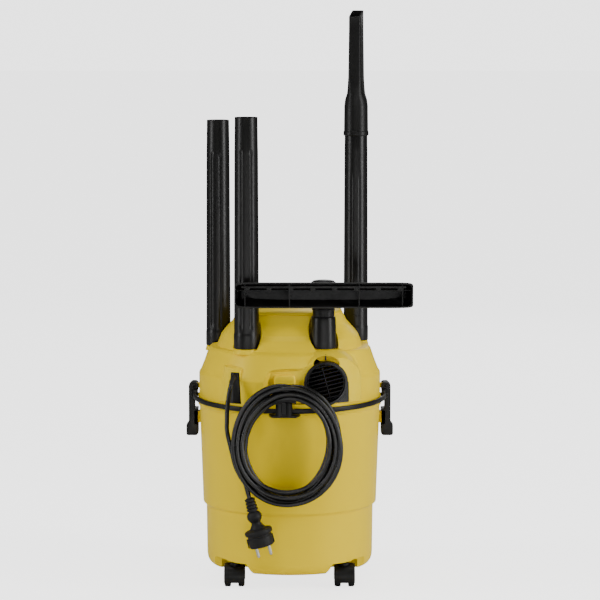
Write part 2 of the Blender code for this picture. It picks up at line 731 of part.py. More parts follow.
# motor and filter -------------------------------------------------------------------------------
def motor():
    base = MOTOR_Z[0] - 0.0116
    inlet = CAGE_R - 0.008
    can = [
        (0.0, MOTOR_Z[1]), (MOTOR_R - 0.004, MOTOR_Z[1]), (MOTOR_R, MOTOR_Z[1] - 0.004),
        (MOTOR_R, base + 0.0035), (MOTOR_R + 0.008, base + 0.0035), (MOTOR_R + 0.008, base),
        (inlet, base), (inlet, base + 0.0025), (MOTOR_R - 0.0024, base + 0.0025),
        (MOTOR_R - 0.0024, MOTOR_Z[1] - 0.006), (MOTOR_R - 0.006, MOTOR_Z[1] - 0.0025),
        (SHAFT_R + SLIP, MOTOR_Z[1] - 0.0025), (SHAFT_R + SLIP, MOTOR_Z[1] - 0.001),
        (0.0, MOTOR_Z[1] - 0.001),
    ]
    housing = turned("motor_housing", can, black(), steps=MEDIUM)
    slots = [box(f"motor_slot_{i}", (MOTOR_R - 0.006, -0.006, MOTOR_Z[0] + 0.015),
                 (MOTOR_R + 0.006, 0.006, MOTOR_Z[0] + 0.030), turn=(0, 0, i * math.pi / 4 + 0.2),
                 cutter=True) for i in range(8)]
    smooth(cut(housing, *slots))
    stator_z = (MOTOR_Z[0] + 0.036, MOTOR_Z[1] - 0.012)
    bore = 0.0225
    stator_r = MOTOR_R - 0.0024 - GAP
    ring = [(bore, stator_z[1]), (stator_r - 0.006, stator_z[1]), (stator_r, stator_z[1] - 0.006),
            (stator_r, stator_z[0] + 0.006), (stator_r - 0.006, stator_z[0]), (bore, stator_z[0])]
    smooth(turned("motor_stator", ring, copper(), steps=MEDIUM, ring=True))
    armature = bore - 0.0008
    shaft = [
        (0.0, MOTOR_Z[1] - 0.0015), (SHAFT_R, MOTOR_Z[1] - 0.0015), (SHAFT_R, stator_z[1] + 0.002),
        (0.012, stator_z[1] + 0.002), (armature, stator_z[1] - 0.003),
        (armature, stator_z[0] + 0.003), (0.012, stator_z[0] - 0.002), (SHAFT_R, stator_z[0] - 0.002),
        (SHAFT_R, FAN_Z[0] - 0.003), (0.0, FAN_Z[0] - 0.003),
    ]
    smooth(turned("motor_rotor", shaft, steel(), steps=MEDIUM))
    fan = [
        (SHAFT_R + GAP, FAN_Z[1] + 0.004), (0.009, FAN_Z[1] + 0.004), (0.010, FAN_Z[1]),
        (FAN_R, FAN_Z[1]), (FAN_R, FAN_Z[0]), (0.018, FAN_Z[0]), (0.018, FAN_Z[0] + 0.0015),
        (FAN_R - 0.008, FAN_Z[0] + 0.003), (FAN_R - 0.008, FAN_Z[1] - 0.0015),
        (0.010, FAN_Z[1] - 0.0015), (0.008, FAN_Z[0] + 0.001), (SHAFT_R + GAP, FAN_Z[0] + 0.001),
    ]
    smooth(turned("suction_fan", fan, black(), steps=MEDIUM, ring=True))
    bearing_r = (SHAFT_R + GAP, 0.0095)
    bearing_z = (stator_z[0] - 0.011, stator_z[0] - 0.005)
    ring = [(bearing_r[0], bearing_z[1]), (bearing_r[1], bearing_z[1]), (bearing_r[1], bearing_z[0]),
            (bearing_r[0], bearing_z[0])]
    turned("motor_bearing", ring, steel(), steps=MEDIUM, ring=True)


def filter_parts():
    """Open cage under the tray, the cartridge around it, its end cap, and the float inside."""
    low, high = CAGE_Z
    wall = CAGE_WALL
    cup = [
        (0.0, low + wall), (CAGE_R - wall, low + wall), (CAGE_R - wall, high - 2 * wall),
        (CAGE_R - 0.008, high - wall), (CAGE_R - 0.008, high), (CAGE_R + 0.006, high),
        (CAGE_R + 0.006, high - wall), (CAGE_R, high - wall), (CAGE_R, low), (0.0, low),
    ]
    cage = turned("filter_cage", cup, black(), steps=MEDIUM)
    windows = [box(f"cage_window_{i}", (CAGE_R - 0.01, -0.0085, low + 0.012),
                   (CAGE_R + 0.01, 0.0085, high - 0.018), turn=(0, 0, i * math.pi / 3 + 0.3),
                   cutter=True) for i in range(6)]
    smooth(cut(cage, *windows))
    element = [(FILTER_R[0], high - wall - GAP), (FILTER_R[1], high - wall - GAP),
               (FILTER_R[1], low + 0.004), (FILTER_R[0], low + 0.004)]
    smooth(turned("filter_cartridge", element, paper(), steps=MEDIUM, ring=True))
    cap_r = FILTER_R[1] + 0.002
    cap = [(0.0, low - GAP), (FILTER_R[0], low - GAP), (FILTER_R[0], low + 0.004 - GAP),
           (cap_r, low + 0.004 - GAP), (cap_r, low - 0.003), (0.0, low - 0.003)]
    smooth(turned("filter_end_cap", cap, rubber(), steps=MEDIUM))
    ball = bmesh.new()
    bmesh.ops.create_uvsphere(ball, u_segments=14, v_segments=8, radius=FLOAT_R)
    floor = low + wall + GAP
    smooth(place(from_bmesh("float_ball", ball), yellow(), at=(0, 0, floor + FLOAT_R)))


# fittings on the head ---------------------------------------------------------------------------
def blower_port():
    x, z = PORT_AT
    length = PORT_LENGTH
    profile = [
        (PORT_BORE_R + 0.0006, 0.0), (PORT_R - 0.0012, 0.0), (PORT_R, -0.0012), (PORT_R, -length),
        (PORT_BORE_R, -length), (PORT_BORE_R, -0.002),
    ]
    port = turned("blower_port", profile, black(), at=(x, PORT_FACE_Y, z),
                  turn=(math.pi / 2, 0, 0), steps=MEDIUM, ring=True)
    smooth(cut(port, bail_way("port")))
    grille_back = 0.026
    grille_r = (PORT_BORE_R - GAP) * math.cos(math.pi / MEDIUM)
    grille = rod("blower_grille", grille_r, -grille_back, -grille_back + 0.004, black(),
                 at=(x, PORT_FACE_Y, z), turn=(math.pi / 2, 0, 0), sides=MEDIUM)
    slots = bmesh.new()
    pitch = PORT_BORE_R * 0.233
    for i in range(-3, 4):
        reach = math.sqrt((PORT_BORE_R - 0.004) ** 2 - (abs(i) * pitch + 0.0015) ** 2)
        made = bmesh.ops.create_cube(slots, size=1.0)["verts"]
        bmesh.ops.scale(slots, vec=(2 * reach, 0.0036, 0.02), verts=made)
        bmesh.ops.translate(slots, vec=(0, i * pitch, 0), verts=made)
    slot_cutter = place(from_bmesh("grille_slots", slots), None,
                        at=(x, PORT_FACE_Y + grille_back - 0.002, z),
                        turn=(math.pi / 2, math.radians(-15), 0), cutter=True)
    cut(grille, slot_cutter)
    duct_r = PORT_BORE_R + 0.001
    duct = [(duct_r - 0.002, -length - GAP), (duct_r, -length - GAP), (duct_r, -length - 0.024),
            (duct_r - 0.002, -length - 0.024)]
    smooth(turned("exhaust_duct", duct, black(), at=(x, PORT_FACE_Y, z), turn=(math.pi / 2, 0, 0),
                  steps=MEDIUM, ring=True))


def bail_way(name):
    """A cutter for the room the bail passes through as it swings up past what stands on the wall."""
    inside = BAIL_R - BAIL_T / 2 - BAIL_ROOM
    profile = [(inside, 0.05), (inside + 0.06, 0.05), (inside + 0.06, -0.05), (inside, -0.05)]
    way = turned(f"bail_way_{name}", profile, at=(0, 0, PORT_AT[1]), steps=BIG, ring=True,
                 cutter=True)
    way.scale = (1.0, BAIL_FLATTEN, 1.0)
    return way


def cord_gland():
    """The wedge-shaped insert that the cord comes out of, with its hole near the top."""
    x, y, z = gland_middle()
    insert = outline("cord_gland", gland_outline(), 0.018, black(), at=(x, y + 0.0075, z),
                     turn=(math.pi / 2, 0, 0))
    exit_hole = hole("cord_exit_hole", CORD_R + GAP, -0.04, 0.04, at=(x + 0.0010, y, GLAND_EXIT_Z),
                     turn=(math.pi / 2, 0, 0), sides=SMALL)
    return smooth(cut(insert, exit_hole, bail_way("gland")))


def saddle_outline():
    """The saddle's side view in (x, z): a strip just inside the coil's own curve."""
    inner_x = COIL_OUT[0] - COIL_BAND
    inner_z = COIL_OUT[1] - COIL_BAND
    upper, lower = [], []
    for i in range(9):
        x = HOOK_X - HOOK_W / 2 + HOOK_W * i / 8
        z = COIL_CENTRE[2] + inner_z * math.sqrt(1 - ((x - COIL_CENTRE[0]) / inner_x) ** 2)
        upper.append((x, z - 0.0008))
        lower.append((x, z - 0.0052))
    return lower + upper[::-1]


def cord_hook():
    """A base under the bail and two prongs outside it, joined by the saddle that the coil hangs on."""
    base_z = PIVOT_Z - BAIL_R * math.sin(BAIL_REST) - BAIL_H / 2 - 0.0008
    low = base_z - 0.0035
    saddle_z = COIL_CENTRE[2] + COIL_OUT[1] - COIL_BAND - 0.0022
    reach = PRONG_Y - PRONG_R + 0.0006
    root_y = -DRUM_BEAD_R - 3 * GAP
    plate = [(HOOK_X - 0.0230, root_y), (HOOK_X + 0.0250, root_y), (HOOK_X + 0.0190, reach),
             (HOOK_X - 0.0190, reach)]
    hook = outline("cord_hook", plate, base_z - low, black(), at=(0, 0, (base_z + low) / 2))
    prongs = [rod(f"prong_{side}", PRONG_R, low + 0.0010, saddle_z - 0.001, at=(HOOK_X + sign * 0.0078, PRONG_Y, 0),
                  sides=SMALL, cutter=True) for side, sign in (("left", -1), ("right", 1))]
    web = box("hook_web", (HOOK_X - 0.008, PRONG_Y - 0.0015, low + 0.0005),
              (HOOK_X + 0.008, PRONG_Y + 0.0015, saddle_z - 0.0018), cutter=True)
    saddle = outline("hook_saddle", saddle_outline(), 0.018, at=(0, PRONG_Y - 0.0055, 0),
                     turn=(math.pi / 2, 0, 0), cutter=True)
    return smooth(join(hook, web, saddle, *prongs))


def bail():
    """The strap around the back of the head, with an eye at each end, its origin on the pivots' axis."""
    count = 30
    rings = []
    for i in range(count + 1):
        angle = math.pi + math.pi * i / count
        direction = np.array((math.cos(angle), math.sin(angle)))
        half_t, half_h = BAIL_T / 2, BAIL_H / 2
        ring = [(BAIL_R - half_t, -half_h), (BAIL_R + half_t, -half_h), (BAIL_R + half_t, half_h),
                (BAIL_R - half_t, half_h)]
        rings.append([(*(direction * radius), height) for radius, height in ring])
    strap = loft("bail_handle", rings, black(), at=(0, 0, PIVOT_Z), turn=(BAIL_REST, 0, 0))
    eyes, holes = [], []
    for side, sign in (("left", -1), ("right", 1)):
        eyes.append(rod(f"eye_{side}", EYE_R, EYE_IN, BAIL_R + BAIL_T / 2, at=(0, 0, PIVOT_Z),
                        turn=(0, sign * math.pi / 2, 0), sides=MEDIUM, cutter=True))
        holes.append(hole(f"eye_hole_{side}", PIVOT_R + SLIP, EYE_IN - 0.005, BAIL_R + 0.0125,
                          at=(0, 0, PIVOT_Z), turn=(0, sign * math.pi / 2, 0), sides=SMALL))
    join(strap, *eyes)
    cut(strap, *holes)
    for side, sign in (("left", -1), ("right", 1)):
        face = BAIL_R + BAIL_T / 2 + SLIP
        inner_end = HEAD_R - HEAD_WALL + GAP
        profile = [(0.0, face + 0.0022), (PIVOT_R + 0.001, face + 0.0022), (PIVOT_R + 0.0022, face + 0.001),
                   (PIVOT_R + 0.0022, face), (PIVOT_R, face), (PIVOT_R, inner_end),
                   (0.0, inner_end)]
        smooth(turned(f"bail_pin_{side}", profile, black(), at=(0, 0, PIVOT_Z),
                      turn=(0, sign * math.pi / 2, 0), steps=SMALL))
    return smooth(strap)


def latch_outline():
    """The latch seen along its hinge, in (outward, up) from the hinge: bar, arms and finger step."""
    hinge_x, hinge_z = LATCH_HINGE
    inner = HEAD_R + 0.0020 - hinge_x
    bar = LATCH_OUT - LATCH_BAR - hinge_x
    out = LATCH_OUT - hinge_x
    step = LATCH_STEP_OUT - hinge_x
    top = LATCH_TOP_Z - hinge_z
    foot = LATCH_FOOT_Z - hinge_z
    lug_low = LUG_Z[0] - 0.0012 - hinge_z
    lug_high = LUG_Z[1] + 0.0012 - hinge_z
    arm = 0.0038
    return [
        (inner, top - 0.003), (inner + 0.003, top), (out - 0.005, top), (out, top - 0.005), (out, lug_low + 0.002),
        (step, lug_low - 0.003), (step, foot + 0.002), (step - 0.002, foot), (inner + 0.003, foot),
        (inner, foot + 0.003), (inner, lug_low), (bar, lug_low), (bar, lug_high),
        (inner, lug_high), (inner, lug_high + arm), (bar, lug_high + arm), (bar, -0.0080),
        (inner, -0.0060),
    ]


def latches():
    width = LATCH_Y[1] - LATCH_Y[0]
    middle = sum(LATCH_Y) / 2
    for side, sign in (("left", -1), ("right", 1)):
        at = (sign * LATCH_HINGE[0], middle, LATCH_HINGE[1])
        points = [(sign * out, up) for out, up in latch_outline()]
        latch = outline(f"latch_{side}", points, width, black(), at=at, turn=(math.pi / 2, 0, 0))
        notch = box(f"latch_notch_{side}", (-0.012, -0.0043, -0.0105), (0.0050, 0.0043, 0.02), at=at,
                    turn=(0, 0, 0 if sign > 0 else math.pi), cutter=True)
        pin_hole = hole(f"latch_hole_{side}", LATCH_PIN_R + SLIP, -0.03, 0.03, at=at,
                        turn=(math.pi / 2, 0, 0), sides=SMALL)
        smooth(cut(latch, notch, pin_hole))
        rod(f"latch_pin_{side}", LATCH_PIN_R, -width / 2 + 0.001, width / 2 - 0.001, steel(), at=at,
            turn=(math.pi / 2, 0, 0), sides=SMALL)


def switch():
    """The switch's body inside the wall, and its knob on a shaft through the wall."""
    front = HEAD_R + 0.0010 + 0.0006
    profile = [(0.0, front + KNOB_H), (KNOB_R - 0.003, front + KNOB_H), (KNOB_R - 0.0015, front + KNOB_H - 0.002),
               (KNOB_R, front + 0.001), (KNOB_R, front), (SWITCH_SHAFT_R, front),
               (SWITCH_SHAFT_R, HEAD_R - SWITCH_REACH),
               (0.0, HEAD_R - SWITCH_REACH)]
    knob = turned("switch_knob", profile, black(), at=(0, 0, SWITCH_Z), turn=(-math.pi / 2, 0, 0),
                  steps=MEDIUM)
    bite = 0.0055
    for side, sign in (("left", -1), ("right", 1)):
        near, far = sorted((sign * bite, sign * 0.03))
        cutter = box(f"knob_flat_{side}", (near, front + 0.005, -0.03), (far, front + 0.03, 0.03),
                     at=(0, 0, SWITCH_Z), cutter=True)
        cut(knob, cutter)
    smooth(knob)
    back = HEAD_R - SWITCH_REACH - GAP
    box("switch_body", (-0.012, back - 0.020, -0.0095), (0.012, back, 0.0095), black(),
        at=(0, 0, SWITCH_Z), bevel=0.0008)


# tools ------------------------------------------------------------------------------------------
def tubes():
    """Three suction tubes, each tapering towards its top, where the next one is pushed on."""
    for name, at in accessory_places()[:3]:
        profile = [
            (TUBE_TOP_R - TUBE_WALL, TUBE_LENGTH), (TUBE_TOP_R - 0.0006, TUBE_LENGTH),
            (TUBE_TOP_R, TUBE_LENGTH - 0.001), (TUBE_TOP_R + 0.0004, TUBE_LENGTH - 0.048),
            (TUBE_TOP_R + 0.0009, TUBE_LENGTH - 0.050),
            (TUBE_FOOT_R - 0.0006, 0.024), (TUBE_FOOT_R, 0.020), (TUBE_FOOT_R, 0.001),
            (TUBE_FOOT_R - 0.001, 0.0), (TUBE_FOOT_R - TUBE_WALL, 0.0),
            (TUBE_FOOT_R - TUBE_WALL - 0.0004, 0.024),
        ]
        smooth(turned(f"suction_{name}", profile, black(), at=at, steps=MEDIUM, ring=True))


def blade_ring(half_w, half_d, corner, z, slant=0.0, count=20):
    """A ring for the flat mouth: a rounded rectangle, sloping down towards -Y by slant."""
    points = []
    for i in range(count):
        angle = 2 * math.pi * i / count
        cos, sin = math.cos(angle), math.sin(angle)
        power = corner
        x = half_w * math.copysign(abs(cos) ** (2 / power), cos)
        y = half_d * math.copysign(abs(sin) ** (2 / power), sin)
        points.append((x, y, z + slant * y))
    return points


def crevice_tool():
    x, y, z = TUBE_3_AT
    foot = z + TUBE_LENGTH - CREVICE_OVERLAP
    wall = 0.0019
    outer, inner = [], []
    r = CREVICE_SOCKET_R
    sections = [
        (0.0, r, r, 2.0), (0.002, r - 0.0001, r - 0.0001, 2.0),
        (CREVICE_SOCKET - 0.006, r - 0.0010, r - 0.0010, 2.0),
        (CREVICE_SOCKET + 0.008, r - 0.0036, r + 0.0, 2.2),
        (CREVICE_SOCKET + 0.022, BLADE_W / 2 + 0.0030, BLADE_D / 2 + 0.0016, 3.2),
        (CREVICE_SOCKET + 0.038, BLADE_W / 2 + 0.0014, BLADE_D / 2 + 0.0008, 5.0),
        (CREVICE_LENGTH - 0.004, BLADE_W / 2, BLADE_D / 2, 8.0),
    ]
    for up, half_w, half_d, power in sections:
        last = up > CREVICE_LENGTH - 0.01
        outer.append(blade_ring(half_w, half_d, power, up, 0.21 if last else 0.0))
    bore_r = TUBE_TOP_R + GAP + 0.0004
    stop = CREVICE_OVERLAP + GAP
    inner.append(blade_ring(bore_r, bore_r, 2.0, -0.01))
    inner.append(blade_ring(bore_r, bore_r, 2.0, stop))
    inner.append(blade_ring(bore_r - 0.0018, bore_r - 0.0018, 2.0, stop + 0.0005))
    for up, half_w, half_d, power in sections[2:]:
        last = up > CREVICE_LENGTH - 0.01
        high = up + 0.012 if last else up
        inner.append(blade_ring(half_w - wall, half_d - wall, power, high))
    tool = loft("crevice_tool", outer, black(), at=(x, y, foot), turn=(0, 0, CREVICE_TURN))
    hollow = loft("crevice_hollow", inner, at=(x, y, foot), turn=(0, 0, CREVICE_TURN), cutter=True)
    return smooth(cut(tool, hollow))


def nozzle_ring(half_w, half_h, y, power=6.0, drop=0.0, count=24):
    """A ring across the nozzle's flat head: a rounded bar, at one distance from the mouth."""
    points = []
    for i in range(count):
        angle = 2 * math.pi * i / count
        cos, sin = math.cos(angle), math.sin(angle)
        x = half_w * math.copysign(abs(cos) ** (2 / power), cos)
        z = half_h * math.copysign(abs(sin) ** (2 / power), sin)
        points.append((x, y, z - drop))
    return points


def floor_nozzle():
    """The nozzle's hollow head with its mouth to the back, on a cuff that stands over its peg."""
    x, y, z = NOZZLE_AT
    mouth = NOZZLE_FACE_Y
    half_w, half_h = NOZZLE_W / 2, NOZZLE_H / 2
    at = (x, 0, NOZZLE_Z)
    shell = loft("nozzle_body", list(reversed([
        nozzle_ring(half_w, half_h, mouth, 14.0),
        nozzle_ring(half_w, half_h, mouth + 0.004, 14.0),
        nozzle_ring(half_w - 0.002, half_h - 0.0015, mouth + 0.006, 10.0),
        nozzle_ring(half_w - 0.005, half_h - 0.003, mouth + NOZZLE_DEPTH * 0.72, 6.0),
        nozzle_ring(half_w - 0.012, half_h - 0.007, mouth + NOZZLE_DEPTH, 4.0),
    ])), black(), at=at)
    hollow = loft("nozzle_hollow", list(reversed([
        nozzle_ring(half_w - NOZZLE_WALL, half_h - NOZZLE_WALL, mouth - 0.01, 14.0),
        nozzle_ring(half_w - NOZZLE_WALL, half_h - NOZZLE_WALL, mouth + 0.006, 10.0),
        nozzle_ring(half_w - 0.008, half_h - 0.006, mouth + NOZZLE_DEPTH * 0.72, 6.0),
        nozzle_ring(half_w - 0.018, half_h - 0.010, mouth + NOZZLE_DEPTH - NOZZLE_WALL, 4.0),
    ])), at=at, cutter=True)
    neck_r = CUFF_R - 0.001
    neck_foot = z + CUFF_LENGTH
    neck = rod("nozzle_neck", neck_r, neck_foot, NOZZLE_Z + 0.016, at=(x, y, 0), sides=MEDIUM, cutter=True)
    throat = box("nozzle_throat", (-neck_r, mouth + 0.016, -0.010), (neck_r, y, 0.0150), at=at,
                 cutter=True)
    bore_r = neck_r - NOZZLE_WALL
    bore = rod("nozzle_bore", bore_r, neck_foot - 0.01, NOZZLE_Z + 0.010, at=(x, y, 0), sides=MEDIUM,
               cutter=True)
    window = box("nozzle_window", (-0.0125, mouth + 0.010, -0.009), (0.0125, y, 0.009), at=at,
                 cutter=True)
    join(shell, throat, neck)
    cut(shell, hollow, bore, window)
    smooth(shell)
    cuff = [
        (bore_r, CUFF_LENGTH - GAP), (CUFF_R + 0.0012, CUFF_LENGTH - GAP),
        (CUFF_R + 0.0012, CUFF_LENGTH - 0.012), (CUFF_R - 0.0004, CUFF_LENGTH - 0.014),
        (CUFF_R, 0.001), (CUFF_R - 0.001, 0.0), (CUFF_R - TUBE_WALL, 0.0),
        (CUFF_R - TUBE_WALL - 0.0004, 0.030), (bore_r, 0.034),
    ]
    smooth(turned("nozzle_cuff", cuff, black(), at=(x, y, z), steps=MEDIUM, ring=True))
    strip = toothed_strip(mouth, at)
    return shell, strip


def toothed_strip(mouth, at):
    """The comb across the mouth: a bar that carries a row of blunt teeth, set inside the shell."""
    reach = NOZZLE_W / 2 - NOZZLE_WALL - 0.0085
    top = NOZZLE_H / 2 - NOZZLE_WALL - 0.0030
    bar_low = top - 0.0035
    tooth = 0.0045
    points = [(-reach, top), (-reach, bar_low)]
    for i in range(8):
        middle = (i - 3.5) * NOZZLE_W * 0.122
        points += [(middle - 0.004, bar_low), (middle - 0.003, bar_low - tooth),
                   (middle + 0.003, bar_low - tooth), (middle + 0.004, bar_low)]
    points += [(reach, bar_low), (reach, top)]
    return outline("nozzle_comb", points, 0.004, black(), at=(at[0], mouth + 0.0045, at[2]),
                   turn=(math.pi / 2, 0, 0))


# cord -------------------------------------------------------------------------------------------
def cord_lead_route():
    """From the gland out and down to the left side of the coil."""
    x = GLAND_X + 0.0010
    y = -wall_y(GLAND_X)
    return [
        (x, y - 0.0060, GLAND_EXIT_Z), (x, y - 0.0120, GLAND_EXIT_Z - 0.0005),
        (x - 0.0010, y - 0.0195, GLAND_EXIT_Z - 0.0060),
        (x - 0.0030, y - 0.0240, GLAND_EXIT_Z - 0.0195),
        (x - 0.0058, y - 0.0290, GLAND_EXIT_Z - 0.0415),
        (x - 0.0070, y - 0.0360, GLAND_EXIT_Z - 0.0615),
        (x - 0.0080, COIL_CENTRE[1] + 0.0080, COIL_CENTRE[2] + 0.0185),
        (x - 0.0087, COIL_CENTRE[1] + 0.0020, COIL_CENTRE[2] + 0.0075),
    ]


def cord_tail_route():
    """From the foot of the coil down to the plug's sleeve."""
    x, y, z = PLUG_TOP
    lean = math.tan(-PLUG_TILT)
    return [(x - lean * up, y, z + up) for up in (0.0080, 0.0044, GAP)]


def cord():
    tube_along("cord_lead", smooth_route(cord_lead_route(), 0.0075), CORD_R, rubber())
    tube_along("cord_tail", cord_tail_route(), CORD_R, rubber())
    radius = (COIL_OUT[0] - COIL_BAND / 2, COIL_OUT[1] - COIL_BAND / 2)
    rings = []
    count = 34
    for i in range(count):
        angle = 2 * math.pi * i / count
        out = np.array((math.cos(angle), math.sin(angle)))
        ring = []
        for k in range(8):
            around = 2 * math.pi * k / 8
            swell = COIL_BAND / 2 * math.cos(around)
            ring.append((radius[0] * out[0] + swell * out[0], COIL_DEPTH / 2 * math.sin(around),
                         radius[1] * out[1] + swell * out[1]))
        rings.append(ring)
    closed_loop("cord_coil", rings, rubber(), COIL_CENTRE)


def closed_loop(name, rings, finish, at):
    """A closed ring-shaped skin over sections that follow one another back to the first."""
    count, around = len(rings), len(rings[0])
    points = [tuple(point) for ring in rings for point in ring]
    faces = []
    for i in range(count):
        here, there = i * around, (i + 1) % count * around
        for k in range(around):
            j = (k + 1) % around
            faces.append((here + k, here + j, there + j, there + k))
    mesh = bpy.data.meshes.new(name)
    mesh.from_pydata(points, [], faces)
    bm = bmesh.new()
    bm.from_mesh(mesh)
    bmesh.ops.recalc_face_normals(bm, faces=bm.faces)
    bm.to_mesh(mesh)
    bm.free()
    return smooth(place(bpy.data.objects.new(name, mesh), finish, at=at))


def plug():
    """Round two-pin plug hanging on the tail, in its own frame with +Z back along the cord."""
    turn = (0, PLUG_TILT, 0)
    relief = [(0.0, 0.0), (CORD_R + 0.0012, 0.0), (CORD_R + 0.0030, -0.018), (0.0052, -0.024),
              (0.0090, -0.027), (0.0105, -0.031), (0.0080, -0.038), (0.0085, -0.041), (0.0, -0.041)]
    tail_top = PLUG_TOP
    body = turned("plug_body", relief, black(), at=tail_top, turn=turn, steps=MEDIUM)
    flange = [(0.0, -0.0395), (0.0165, -0.0480), (0.0215, -0.0560), (0.0215, -0.0590), (0.0188, -0.0600),
              (0.0182, -0.0760), (0.0, -0.0760)]
    head = turned("plug_head", flange, at=tail_top, turn=turn, steps=MEDIUM, cutter=True)
    join(body, head)
    holes = []
    for side, sign in (("left", -1), ("right", 1)):
        at = Vector(tail_top) + Euler(turn).to_matrix() @ Vector((sign * PIN_PITCH / 2, 0, 0))
        pin = [(0.0, -0.066), (PIN_R, -0.066), (PIN_R, -0.0935), (0.0016, -0.0950), (0.0, -0.0950)]
        smooth(turned(f"plug_pin_{side}", pin, steel(), at=at, turn=turn, steps=SMALL))
        holes.append(hole(f"plug_hole_{side}", PIN_R + GAP, -0.08, -0.0657, at=at, turn=turn,
                          sides=SMALL))
    return smooth(cut(body, *holes))


def main():
    drum()
    hose_inlet()
    casters()
    head_cover()
    seal_ring()
    motor_tray()
    tray_screws()
    motor()
    filter_parts()
    blower_port()
    cord_gland()
    cord_hook()
    bail()
    latches()
    switch()
    tubes()
    crevice_tool()
    floor_nozzle()
    cord()
    plug()


main()
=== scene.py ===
import json
import math

import bmesh
import bpy
import numpy as np
from mathutils import Matrix


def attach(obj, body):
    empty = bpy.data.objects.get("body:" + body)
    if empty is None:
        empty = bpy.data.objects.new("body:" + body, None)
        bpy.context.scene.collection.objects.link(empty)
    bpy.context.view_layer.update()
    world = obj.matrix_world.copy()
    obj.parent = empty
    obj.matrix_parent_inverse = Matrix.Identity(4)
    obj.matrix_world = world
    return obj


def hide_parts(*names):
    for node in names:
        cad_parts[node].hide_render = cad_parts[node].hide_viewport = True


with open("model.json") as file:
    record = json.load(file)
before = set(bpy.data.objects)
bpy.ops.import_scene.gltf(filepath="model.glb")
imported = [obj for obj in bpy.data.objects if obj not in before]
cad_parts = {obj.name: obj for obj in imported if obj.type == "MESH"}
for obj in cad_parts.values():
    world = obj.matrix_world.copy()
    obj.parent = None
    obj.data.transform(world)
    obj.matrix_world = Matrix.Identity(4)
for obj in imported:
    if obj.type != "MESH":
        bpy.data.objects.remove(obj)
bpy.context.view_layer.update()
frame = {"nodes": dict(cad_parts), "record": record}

bl_info = {
    "name": "Drum vacuum cleaner",
    "version": (1, 0, 0),
    "blender": (4, 5, 0),
    "location": "View3D > Sidebar > Drum vacuum",
    "description": "Builds the visible pieces of a small wet and dry drum vacuum cleaner",
    "category": "Object",
}

# Sizes in metres, shared with the CAD solids unless a note says otherwise.  The origin is on the
# floor under the drum's middle, and the blower port and the cord are on the -Y side.
GAP = 0.0003
HEAD_R = 0.1397
RIM_Z = 0.2805
LIP_Z = 0.3225
TOP_Z = 0.42
WALL = 0.0028
DRUM_BOTTOM = 0.025
STEP_Z = 0.118
TUBE_LENGTH = 0.35
TUBE_TOP_R = 0.0172
TUBE_FOOT_R = 0.0195
TUBES = {
    "suction_tube_1": (-0.111, 0.046, 0.358),
    "suction_tube_2": (-0.065, -0.086, 0.3683),
    "suction_tube_3": (0.103, 0.06, 0.364),
}
NOZZLE_AT = (0.0515, -0.086, 0.3688)
NICHE_R = 0.0228
NICHE_DROP = 0.0012
NOZZLE_W, NOZZLE_H = 0.268, 0.0385      # 4 mm wider than its solid
NOZZLE_FACE_Y = -0.1385
NOZZLE_Z = 0.454
INLET_AT = (0, HEAD_R - 0.0017, 0.205)
CUFF_LENGTH = 0.048
CUFF_R = 0.0198
CREVICE_LENGTH = 0.1925                 # 2.5 mm longer than its solid
CREVICE_FOOT_Z = 0.683
CREVICE_TURN = math.radians(-10)
BLADE_W, BLADE_D = 0.0185, 0.036
PIVOT_Z = 0.286
BAIL_R, BAIL_T, BAIL_H = 0.1475, 0.004, 0.0076
BAIL_REST = math.radians(2.3)
LATCH_MIDDLE, LATCH_WIDTH = 0.025, 0.03
CATCH_LOW, CATCH_HIGH = 0.2395, 0.257
HINGE_X, HINGE_Z = 0.148, 0.297
PORT_X, PORT_Z, PORT_FACE_Y = 0.0553, 0.319, -0.13
PORT_R, PORT_BORE_R, PORT_LENGTH = 0.033, 0.0292, 0.034
FOOT_Z = 0.289                          # foot of the recess and of the facets at the back
GLAND_X, GLAND_Z, CORD_EXIT_Z = -0.0845, 0.313, 0.3275
SKIRT_AT = (0, -0.118, 0)
HOOK_X, PRONG_Y = -0.008, -0.157
SWITCH_Z = 0.313
WHEEL_R, WHEEL_W, CASTER_W, TRAIL = 0.0165, 0.0098, 0.032, 0.007
HOOD_WALL = 0.0024
CASTERS = {"rear_left": (-0.084, -0.086), "rear_right": (0.084, -0.086),
           "front_left": (-0.084, 0.086), "front_right": (0.084, 0.086)}
COIL_CENTRE = (-0.004, -0.164, 0.2315)
COIL_MIDDLE = (0.0745, 0.0852)
PLUG_TOP = (-0.06, -0.165, 0.1522)
PLUG_TILT = math.radians(-15)

# Turns that lay a shape made along its own Z along another direction.
UP = np.eye(3)
BACK = np.array(((1, 0, 0), (0, 0, -1), (0, 1, 0)), dtype=float)      # Z to -Y, Y to Z
FRONT = np.array(((-1, 0, 0), (0, 0, 1), (0, 1, 0)), dtype=float)     # Z to +Y, Y to Z
RIGHT = np.array(((0, 0, 1), (0, 1, 0), (-1, 0, 0)), dtype=float)     # Z to +X
LEFT = np.array(((0, 0, -1), (0, 1, 0), (1, 0, 0)), dtype=float)      # Z to -X


def turn_about(axis, angle):
    """A turn about X, Y or Z, which are numbered 0 to 2."""
    turn = np.eye(3)
    one, two = (axis + 1) % 3, (axis + 2) % 3
    turn[one, one] = turn[two, two] = math.cos(angle)
    turn[two, one] = math.sin(angle)
    turn[one, two] = -turn[two, one]
    return turn


